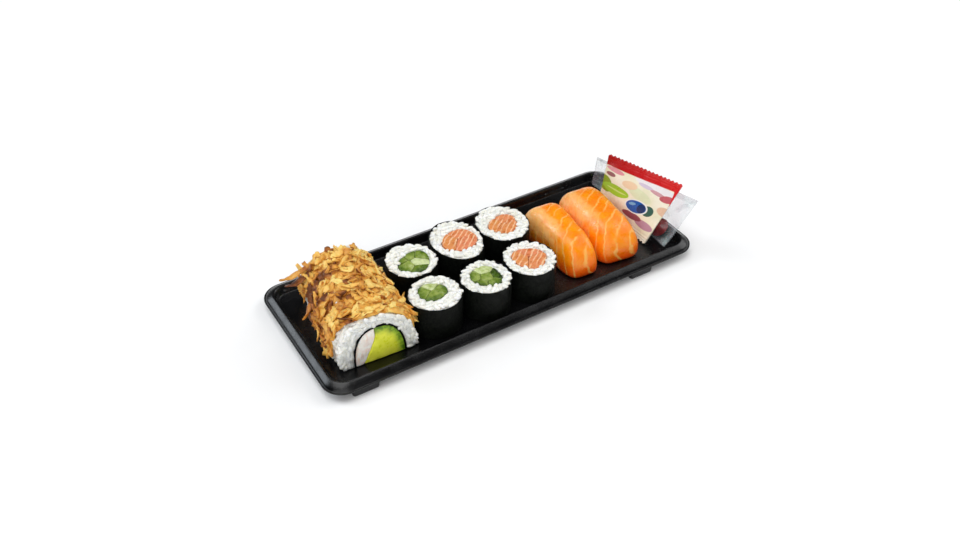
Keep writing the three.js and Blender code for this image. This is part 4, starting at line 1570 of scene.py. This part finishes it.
# %% [markdown]
# ## The nigiri
#
# A nigiri is a loaf of rice pressed in the hand, with a slice of raw salmon draped over it. The
# slice could be a cloth simulation dropped on the loaf, but cut fish is too thick to fall in
# folds: it follows the loaf and hangs to the tray. So both are the same rounded loaf, one inside
# the other, and the slice's edge curls under between them.

# %% The loaf that rice and fish share
NIGIRI = [
    {"x": 45.4, "y": -5.9, "half_width": 11.3, "half_length": 26.7, "yaw": -0.06, "taper": 0.12},
    {"x": 70.8, "y": -4.7, "half_width": 13.5, "half_length": 27.6, "yaw": -0.09, "taper": -0.03},
]
NIGIRI_HEIGHT = 19.2
SLICE_SIDE, SLICE_TOP = 3.3, 4.2  # how thick the fish is at its sides and on top
DROOP = 0.06  # how much lower the front end is and how much higher the back end, as a share


def loaf(nigiri, inwards, round_angle, rise):
    """Points on a loaf: `round_angle` runs about it, `rise` from its foot to its top."""
    wide = signed_power(np.cos(rise), 0.55)
    along = wide * signed_power(np.sin(round_angle), 0.45)
    across = wide * signed_power(np.cos(round_angle), 0.42) * (1 + nigiri["taper"] * along)
    x = (nigiri["half_width"] - SLICE_SIDE * inwards) * across
    y = (nigiri["half_length"] - SLICE_SIDE * inwards) * along
    height = (NIGIRI_HEIGHT - SLICE_TOP * inwards) * signed_power(np.sin(rise), 0.92)
    return np.stack([x, y, height * (1 + DROOP * along)], -1)


def slice_foot(round_angle):
    """How far up the slice ends: on the tray in front and at the left, higher at the back."""
    right = smoothstep(0.2, 0.9, np.cos(round_angle))
    back = smoothstep(0.2, 0.9, np.sin(round_angle))
    return 0.02 + 0.2 * np.maximum(right * 0.7, back)


print("tops:", [round(loaf(n, 0.0, 0.0, math.pi / 2)[2], 1) for n in NIGIRI], "mm over their feet")

# %% The salmon slices' shape
# How the slice's edge turns under: (share of its thickness inwards, height as a share of its rise)
HEM = [
    (0.0, 0.05),
    (0.02, 0.02),
    (0.15, -0.01),
    (0.5, -0.02),
    (0.85, -0.01),
    (0.98, 0.02),
    (1.0, 0.05),
]


def even_turn(nigiri, count):
    """Angles that step evenly round the loaf's foot, though the loaf is boxy."""
    angle = np.linspace(0, 2 * math.pi, 721)
    line = loaf(nigiri, 0.0, angle, 0.3)[:, :2]
    along = np.concatenate([[0], np.cumsum(np.linalg.norm(np.diff(line, axis=0), axis=1))])
    return np.interp(np.linspace(0, along[-1], count, endpoint=False), along, angle)


def salmon_slice(nigiri, seed):
    """The slice as a closed skin: over the top, round its edge, and back underneath."""
    angle = even_turn(nigiri, 96)
    foot = slice_foot(angle)
    climb = np.linspace(0.98, 0.09, 24)
    steps = [(0.0, up) for up in climb] + HEM + [(1.0, up) for up in climb[::-1]]
    rings = [loaf(nigiri, inwards, angle, foot + (math.pi / 2 - foot) * up) for inwards, up in steps]
    points, faces = loft(rings)
    soft = 0.35 * lumps(points, 9.0, seed) + 0.14 * lumps(points, 3.2, seed)
    outside = unit(points * [1.0, 0.45, 1.0])
    points = points + outside * soft[:, None]
    points[:, 2] = np.maximum(points[:, 2], 0.0)
    return points, faces


print("a slice:", triangles(salmon_slice(NIGIRI[0], 20.0)), "triangles")

# %% Where the fish is pale with fat and painted light, and where painted shade darkens it


def pale_fat_and_light(points, nigiri):
    """How pale the fish is: fat and painted light on its upper left, and a little fat at both ends.
    """
    x, y = points[:, 0] / nigiri["half_width"], points[:, 1] / nigiri["half_length"]
    z = points[:, 2]
    # The upper left is pale fat, and painted light where the light falls on the slice.
    left = smoothstep(0.1, -0.6, x) * smoothstep(-0.9, 0.1, y) * smoothstep(3, 13, z)
    front = smoothstep(-0.74, -0.9, y) * smoothstep(0.7, 0.2, np.abs(x)) * smoothstep(2, 6, z)
    back = smoothstep(0.45, 0.95, y) * smoothstep(8, 14, z)
    return np.maximum.reduce([0.95 * left, 0.45 * front, 0.4 * back])


def painted_hem_shade(points):
    """Painted shade at each point: the fish gets darker and redder towards its hem."""
    return smoothstep(11, 1, points[:, 2])


over_it = salmon_slice(NIGIRI[0], 20.0)[0]
print("the fattiest point:", pale_fat_and_light(over_it, NIGIRI[0]).max().round(2))

# %% The fish's material and pieces
LEAN, LEAN_SHADE = colour(255, 156, 10), colour(252, 128, 4)
# The second colour is painted shade: the darker, redder orange low on the slice. The first is pale
# fat with painted light.
PALE_AND_LIT, HEM_SHADE, FAT = colour(255, 188, 110), colour(250, 86, 6), colour(255, 180, 88)

fish_paint, tree, shader = start_material("salmon_slice", SALMON_DEPTH)
lean_part = clouded(tree, LEAN, LEAN_SHADE, 7.0, softness=0.25)
# Pale fat and painted light on the upper left.
pale_and_lit_share = math_node(tree, "MULTIPLY_ADD", swaying(tree, 5.0), 1.2, mark_value(tree, "fat_and_light"))
flesh = mixed(tree, between(tree, pale_and_lit_share, 0.25, 1.15), lean_part, PALE_AND_LIT)
# Painted shade: darker, redder flesh towards the hem.
hem_shade_share = math_node(tree, "MULTIPLY", mark_value(tree, "deep"), 0.95)
flesh = mixed(tree, hem_shade_share, flesh, HEM_SHADE)
lines = {"Flesh": flesh, "Fat": FAT, "Pitch": 5.4, "Width": 0.24, "Wobble": 4.5, "Turn": 1.0}
fatty = placed(tree, marbling, lines)
tree.links.new(fatty["Color"], shader["Base Color"])
glossed(tree, shader, 0.2, 0.42, 4.0)
raised = math_node(tree, "MULTIPLY_ADD", fatty["Mask"], 0.8, relief_height(tree, 0.9, 0.2))
bumped(tree, shader, raised, 0.12)

for index, nigiri in enumerate(NIGIRI):
    points, faces = salmon_slice(nigiri, 20.0 + index)
    # The pale mark carries fat and painted light, and the deep mark is painted shade.
    marks = {"fat_and_light": pale_fat_and_light(points, nigiri), "deep": painted_hem_shade(points)}
    shape = (on_tray(points, nigiri), faces)
    name = f"nigiri_{index + 1}"
    piece(f"{name}_fish", shape, fish_paint, [f"{name}_salmon"], marks)

# %% The rice under the fish
INSIDE = 1 + 0.3 / SLICE_SIDE + 0.05  # clear of the slice, as a share of its thickness
LOAF_TRIES, LOAF_SPACING = 1600, 2.3
NEAR = 0.01  # a small step along a surface, to find which way it faces


def loaf_grains(nigiri, draw):
    """Grains over the low part of the loaf, where it shows."""
    angle = draw.uniform(0, 2 * math.pi, LOAF_TRIES)
    rise = draw.uniform(0.02, 0.34, LOAF_TRIES)
    places = loaf(nigiri, INSIDE - 0.12, angle, rise)
    kept = spread(places, LOAF_SPACING)
    places, angle, rise = places[kept], angle[kept], rise[kept]
    ahead = loaf(nigiri, INSIDE, angle + NEAR, rise) - loaf(nigiri, INSIDE, angle - NEAR, rise)
    up = loaf(nigiri, INSIDE, angle, rise + NEAR) - loaf(nigiri, INSIDE, angle, rise - NEAR)
    return grains_on(places, unit(np.cross(ahead, up)), draw, 0.8)


for index, nigiri in enumerate(NIGIRI):
    draw = np.random.default_rng(120 + index)
    angle = even_turn(nigiri, 60)
    rings = [loaf(nigiri, INSIDE + 0.3, angle, up * math.pi / 2) for up in np.linspace(0, 0.95, 14)]
    points, faces = loft(rings)
    core = (lumpy(points, 2.4, 0.4), faces)
    (points, faces), tones = dressed([with_tone(core, CORE_TONE), loaf_grains(nigiri, draw)])
    points[:, 2] = np.maximum(points[:, 2], 0.0)
    shape = (on_tray(points, nigiri), faces)
    name = f"nigiri_{index + 1}"
    piece(f"{name}_grains", shape, rice_paint, [f"{name}_rice"], {"tone": tones})

# %% [markdown]
# ## The sauce sachet
#
# A sachet is two films sealed together round its edge. The seals are crimped by a ridged jaw,
# the top and bottom are cut with a zigzag blade, and the sauce swells the middle. Cloth with
# pressure could swell it, but the folds would land by chance. The swell is a formula here, and
# the crimps and the zigzag are true geometry.

# %% A sheet between four corners
# Corners run from the bottom's back and front to the top's front and back. Edge is half the
# thickness of the seals and belly what the middle gains, in mm. Seal is the width of the seals,
# as a share of the pack's size.
SACHET = {
    "corners": [(86.6, 15, 4.8), (86.5, -27.5, 4.5), (107.6, -29.3, 37.8), (92.1, 15.6, 37.8)],
    "edge": 0.32,
    "belly": 2.4,
    "seal": 0.14,
}


def on_pack(pack, u, v):
    """Points of a four-cornered sheet: u from its back to its front, v from bottom to top."""
    bottom_back, bottom_front, top_front, top_back = np.array(pack["corners"], float)
    u, v = u[..., None], v[..., None]
    low = bottom_back + (bottom_front - bottom_back) * u
    high = top_back + (top_front - top_back) * u
    return low + (high - low) * v


def pack_normals(pack, u, v):
    """Which way the sheet faces at each of those points."""
    ahead = on_pack(pack, u + NEAR, v) - on_pack(pack, u - NEAR, v)
    up = on_pack(pack, u, v + NEAR) - on_pack(pack, u, v - NEAR)
    return unit(np.cross(ahead, up))


def fullness(share, seal):
    """0 in the sealed edges and 1 in the middle."""
    return smoothstep(0, 1, np.minimum(share, 1 - share) / (3 * seal))


half_way = np.array([0.5])
print("the sachet's middle:", on_pack(SACHET, half_way, half_way)[0].round(1))

# %% A pouch over such a sheet
TEETH = 19  # along the zigzag


def pouch(pack, u_steps, v_steps, half_thickness, relief_of, teeth_depth=0.0):
    """A closed pouch. Returns its shape, and u and v at each point."""
    rings, marks = [], []
    by_cut = smoothstep(0.06, 0, v_steps) - smoothstep(0.94, 1, v_steps)
    for along in u_steps:
        zigzag = np.abs((along * TEETH) % 1 * 2 - 1)
        u, v = np.full(len(v_steps), along), v_steps + teeth_depth * zigzag * by_cut
        middle, normal = on_pack(pack, u, v), pack_normals(pack, u, v)
        half = half_thickness(u, v_steps)[:, None]
        ridges = relief_of(u, v_steps)[:, None]
        near_film, far_film = middle + normal * (ridges - half), middle + normal * (ridges + half)
        rings.append(np.vstack([near_film, far_film[::-1]]))
        places = np.stack([u, v], 1)
        marks.append(np.vstack([places, places[::-1]]))
    ends = [marks[0].mean(0, keepdims=True), marks[-1].mean(0, keepdims=True)]
    return loft(rings), np.vstack(marks + ends)


def noise_over(x, y, z):
    """Noise at places on a sheet, for its slack and its creases."""
    return np.array([noise.noise(Vector((a, b, z))) for a, b in zip(x, y)])


print("teeth:", TEETH)

# %% The sachet's shape
CRIMPS, CRIMP_DEPTH = 26, 0.14  # as many as would fill its height, and half their depth in mm
TEETH_DEPTH = 0.022  # as a share of its height


def sachet_half(u, v):
    """Half its thickness: thin at the seals, and full but a little slack in the middle."""
    full = fullness(u, SACHET["seal"]) * fullness(v, SACHET["seal"])
    slack = 0.3 * noise_over(7 * u, 5 * v, 1.0)
    return SACHET["edge"] + full * (SACHET["belly"] + slack)


def sachet_relief(u, v):
    """Crimps along the top and bottom seals, and soft creases that run out of the corners."""
    in_seal = smoothstep(0.13, 0.11, np.minimum(v, 1 - v))
    crimps = CRIMP_DEPTH * np.sin(2 * math.pi * v * CRIMPS) * in_seal
    creases = 0.45 * noise_over(9 * u, 3.5 * v, 7.0)
    return crimps + creases * (1 - 0.6 * fullness(v, SACHET["seal"]))


# Close steps up the two seals, for their crimps, and wide ones between them.
u_steps = np.linspace(0, 1, TEETH * 4 + 1)
v_steps = [np.linspace(0, 0.14, 16), np.linspace(0.17, 0.83, 22), np.linspace(0.86, 1, 16)]
sachet_shape, sachet_marks = pouch(
    SACHET, u_steps, np.concatenate(v_steps), sachet_half, sachet_relief, TEETH_DEPTH
)
print("sachet:", triangles(sachet_shape), "triangles")

# %% [markdown]
# ## Print on the sachet
#
# The print is a few plain fields of colour on cream, and a white band under its red header is a
# painted highlight, a glare on the film. An image texture would need a file, and rings of
# geometry would need a cut for every colour. Each point of the pouch keeps how far along and how
# far up it is, so a small group can draw a soft-edged oval at any place in the print, and the
# fields are layered one over another.

# %% Group: an oval field of print
print_field, enter, leave = start_group(
    "Print Field",
    [
        ("Across", "Float", 0.0),
        ("Up", "Float", 0.0),
        ("Middle Across", "Float", 0.5),
        ("Middle Up", "Float", 0.5),
        ("Half Width", "Float", 0.1),
        ("Half Height", "Float", 0.1),
        ("Lean", "Float", 0.0),
        ("Softness", "Float", 0.1),
    ],
    [("Mask", "Float")],
)
off_across = math_node(print_field, "SUBTRACT", enter["Across"], enter["Middle Across"])
off_up = math_node(print_field, "SUBTRACT", enter["Up"], enter["Middle Up"])
leaning = math_node(print_field, "MULTIPLY", off_across, enter["Lean"])
off_up = math_node(print_field, "SUBTRACT", off_up, leaning)
share_across = math_node(print_field, "DIVIDE", off_across, enter["Half Width"])
share_up = math_node(print_field, "DIVIDE", off_up, enter["Half Height"])
off_edge = math_node(print_field, "MULTIPLY", share_up, share_up)
off_edge = math_node(print_field, "MULTIPLY_ADD", share_across, share_across, off_edge)
soft_edge = math_node(print_field, "ADD", 1.0, enter["Softness"])
in_field = opposite(print_field, between(print_field, off_edge, 1.0, soft_edge))
print_field.links.new(in_field, leave["Mask"])
print("group:", print_field.name)

# %% The fields of print, and a painted highlight
# colour, middle (across, up), half size (across, up), lean, softness
FIELDS_AND_GLARE = [
    (colour(224, 228, 190), (0.60, 0.60), (0.16, 0.07), -0.2, 0.6),
    (colour(238, 206, 170), (0.42, 0.67), (0.10, 0.055), 0.1, 0.5),
    # The next two fields, white and lilac under the red header, are a painted highlight: glare on the
    # film.
    (colour(238, 234, 236), (0.74, 0.80), (0.26, 0.05), -0.03, 0.5),
    (colour(212, 198, 216), (0.62, 0.76), (0.10, 0.026), -0.05, 0.3),
    (colour(208, 158, 164), (0.80, 0.73), (0.10, 0.026), -0.1, 0.3),
    (colour(196, 96, 104), (0.94, 0.71), (0.09, 0.05), 0.2, 0.3),
    (colour(230, 192, 162), (1.00, 0.53), (0.10, 0.06), 0.0, 0.4),
    (colour(222, 148, 156), (0.15, 0.775), (0.13, 0.036), 0.0, 0.3),
    (colour(150, 88, 88), (0.10, 0.68), (0.07, 0.035), 0.1, 0.3),
    (colour(142, 166, 34), (0.04, 0.48), (0.13, 0.13), -0.2, 0.12),
    (colour(160, 204, 54), (0.24, 0.47), (0.23, 0.085), 0.1, 0.08),
    (colour(206, 228, 130), (0.26, 0.475), (0.17, 0.012), 0.1, 0.2),
    (colour(188, 142, 160), (0.84, 0.22), (0.14, 0.055), 0.0, 0.3),
    (colour(146, 78, 92), (0.62, 0.25), (0.15, 0.05), 0.05, 0.3),
    (colour(56, 98, 84), (0.80, 0.43), (0.075, 0.08), 0.1, 0.1),
    (colour(238, 240, 236), (0.63, 0.41), (0.165, 0.112), 0.1, 0.05),
    (colour(36, 92, 172), (0.63, 0.41), (0.145, 0.094), 0.1, 0.05),
    (colour(24, 54, 104), (0.71, 0.42), (0.055, 0.072), 0.1, 0.1),
    (colour(116, 168, 206), (0.57, 0.43), (0.045, 0.022), 0.3, 0.3),
]
CREAM, CREAM_SHADE = colour(248, 241, 222), colour(236, 231, 200)
RED_BACK, RED_FRONT = colour(172, 14, 20), colour(214, 34, 36)
# The red header's lower edge: how far up it starts at the back, what it rises by the front, and
# how far it drops at the front corner.
HEADER_UP, HEADER_RISE, HEADER_DROP = 0.80, 0.05, 0.24
print("fields of print:", len(FIELDS_AND_GLARE))

# %% The sachet's material and piece
print_paint, tree, shader = start_material(
    "printed_film", {"Specular IOR Level": 0.5, "Coat Weight": 0.25, "Coat Roughness": 0.12}
)
across, up = mark_value(tree, "across"), mark_value(tree, "up")
layered = clouded(tree, CREAM, CREAM_SHADE, 9.0, softness=0.2)
for paint, middle, half, lean, softness in FIELDS_AND_GLARE:
    field = {"Across": across, "Up": up, "Lean": lean, "Softness": softness}
    field.update({"Middle Across": middle[0], "Middle Up": middle[1]})
    field.update({"Half Width": half[0], "Half Height": half[1]})
    layered = mixed(tree, placed(tree, print_field, field)["Mask"], layered, paint)
header_edge = math_node(tree, "MULTIPLY_ADD", across, HEADER_RISE, HEADER_UP)
dropped = math_node(tree, "MULTIPLY", between(tree, across, 0.955, 1.01), HEADER_DROP)
header_edge = math_node(tree, "SUBTRACT", header_edge, dropped)
header = between(tree, up, header_edge, math_node(tree, "ADD", header_edge, 0.015))
red = mixed(tree, across, RED_BACK, RED_FRONT)
tree.links.new(mixed(tree, header, layered, red), shader["Base Color"])
glossed(tree, shader, wet=0.22, dry=0.38, size=8.0)
bumped(tree, shader, relief_height(tree, 2.5, 0.1), 0.08)
marks = {"across": sachet_marks[:, 0], "up": sachet_marks[:, 1]}
piece("sachet_pouch", sachet_shape, print_paint, ["sauce_sachet"], marks, sharp=60)

# %% [markdown]
# ## The clear bag
#
# Behind the sachet stands a clear bag with a little dark sauce in one corner. Its film could be
# glass, but glass of this thickness bends what is behind it far more than film does. A thin
# film mostly lets light through and catches it on folds and seals, so the material is mostly
# transparent, and less so where the film is creased or doubled.

# %% The bag's shape
BAG = {
    "corners": [(96.6, 34, 5.0), (94.0, -35.6, 5.2), (109.2, -40.4, 33.3), (98.7, 34, 22.8)],
    "edge": 0.2,
    "belly": 1.5,
    "seal": 0.1,
}
# The pocket of sauce: its middle, its half size and its lean, as shares of the bag.
POCKET = {"across": 0.85, "up": 0.23, "half_across": 0.07, "half_up": 0.19, "lean": 0.02}
SWELL, SWELL_ACROSS, SWELL_UP = 2.8, 0.11, 0.2  # how high and how wide the film rises over it


def bag_half(u, v):
    """Half its thickness: thin at the seals, slack in the middle and swollen over the sauce."""
    off = ((u - POCKET["across"]) / SWELL_ACROSS) ** 2 + ((v - POCKET["up"]) / SWELL_UP) ** 2
    full = fullness(u, BAG["seal"]) * BAG["belly"] + SWELL * np.exp(-off)
    return BAG["edge"] + fullness(v, BAG["seal"]) * full


def bag_relief(u, v):
    """Creases that fan out from the sauce, and crinkles all over."""
    creases = noise_over(14 * u, 4 * v + 3 * u, 3.0)
    crinkles = noise_over(34 * u, 14 * v, 6.0)
    return 0.7 * creases + 0.22 * crinkles


bag_shape, bag_marks = pouch(BAG, np.linspace(0, 1, 90), np.linspace(0, 1, 40), bag_half, bag_relief)
print("bag:", triangles(bag_shape), "triangles")

# %% The bag's film, as a material and a piece
FILM_TINT, FILM_TINT_SHADE = colour(192, 214, 214), colour(190, 174, 188)
HAZE, CREASE_HAZE, SEAL_HAZE = 0.17, 0.18, 0.14  # how much of the light plain film stops, and more
WET_ACROSS, WET_UP = 10.0, 4.2  # one over half the size of the patch that is wet with sauce
WET_HAZE = 0.2  # what is left of the haze there

film_paint, tree, shader = start_material("clear_film", {"Specular IOR Level": 0.8, "IOR": 1.5})
across, up = mark_value(tree, "across"), mark_value(tree, "up")
tint = clouded(tree, FILM_TINT, FILM_TINT_SHADE, 9.0, softness=0.25)
tree.links.new(tint, shader["Base Color"])

crease = between(tree, scaled_noise(tree, 5.0, detail=4.0), 0.48, 0.7)
from_edge = math_node(tree, "MINIMUM", up, opposite(tree, up))
in_seal = opposite(tree, between(tree, from_edge, 0.09, 0.12))
haze = math_node(tree, "MULTIPLY_ADD", crease, CREASE_HAZE, HAZE)
haze = math_node(tree, "MULTIPLY_ADD", in_seal, SEAL_HAZE, haze)

off_across = math_node(tree, "SUBTRACT", across, POCKET["across"])
off_across = math_node(tree, "MULTIPLY", off_across, WET_ACROSS)
off_up = math_node(tree, "MULTIPLY", math_node(tree, "SUBTRACT", up, POCKET["up"]), WET_UP)
away = math_node(tree, "MULTIPLY", off_up, off_up)
away = math_node(tree, "MULTIPLY_ADD", off_across, off_across, away)
dry = math_node(tree, "MULTIPLY_ADD", between(tree, away, 0.6, 1.5), 1 - WET_HAZE, WET_HAZE)
tree.links.new(math_node(tree, "MULTIPLY", dry, haze), shader["Alpha"])
glossed(tree, shader, wet=0.06, dry=0.22, size=5.0)
bumped(tree, shader, relief_height(tree, 2.0, 0.4), 0.3)
marks = {"across": bag_marks[:, 0], "up": bag_marks[:, 1]}
piece("bag_film", bag_shape, film_paint, ["clear_bag"], marks)

# %% The sauce in its corner
DARK_RED, DARK_RED_SHADE = colour(136, 22, 28), colour(92, 8, 14)
UNDER_FILM = 0.25  # how far the sauce stays inside the film

sauce_paint, tree, shader = start_material(
    "dark_sauce", {"Specular IOR Level": 0.5, "Coat Weight": 0.5, "Coat Roughness": 0.05}
)
dark_red = clouded(tree, DARK_RED, DARK_RED_SHADE, 4.0, softness=0.3)
tree.links.new(dark_red, shader["Base Color"])
glossed(tree, shader, wet=0.08, dry=0.2, size=4.0)

turn = np.linspace(0, 2 * math.pi, 32, endpoint=False)
rings = []
for polar in np.linspace(0.05, math.pi - 0.05, 17):  # from one film to the other
    size = np.sin(polar)
    u = POCKET["across"] + POCKET["half_across"] * size * np.cos(turn)
    v = POCKET["up"] + size * (POCKET["half_up"] * np.sin(turn) + POCKET["lean"] * np.cos(turn))
    offset = bag_relief(u, v) + np.cos(polar) * (bag_half(u, v) - UNDER_FILM)
    rings.append(on_pack(BAG, u, v) + pack_normals(BAG, u, v) * offset[:, None])
piece("bag_sauce", loft(rings), sauce_paint, ["clear_bag"])

# %% [markdown]
# ## Counting up
#
# The last cell counts the pieces made and their triangles.

# %% Measure and finish
print("pieces:", len(made), "triangles:", sum(count for _, count in made))
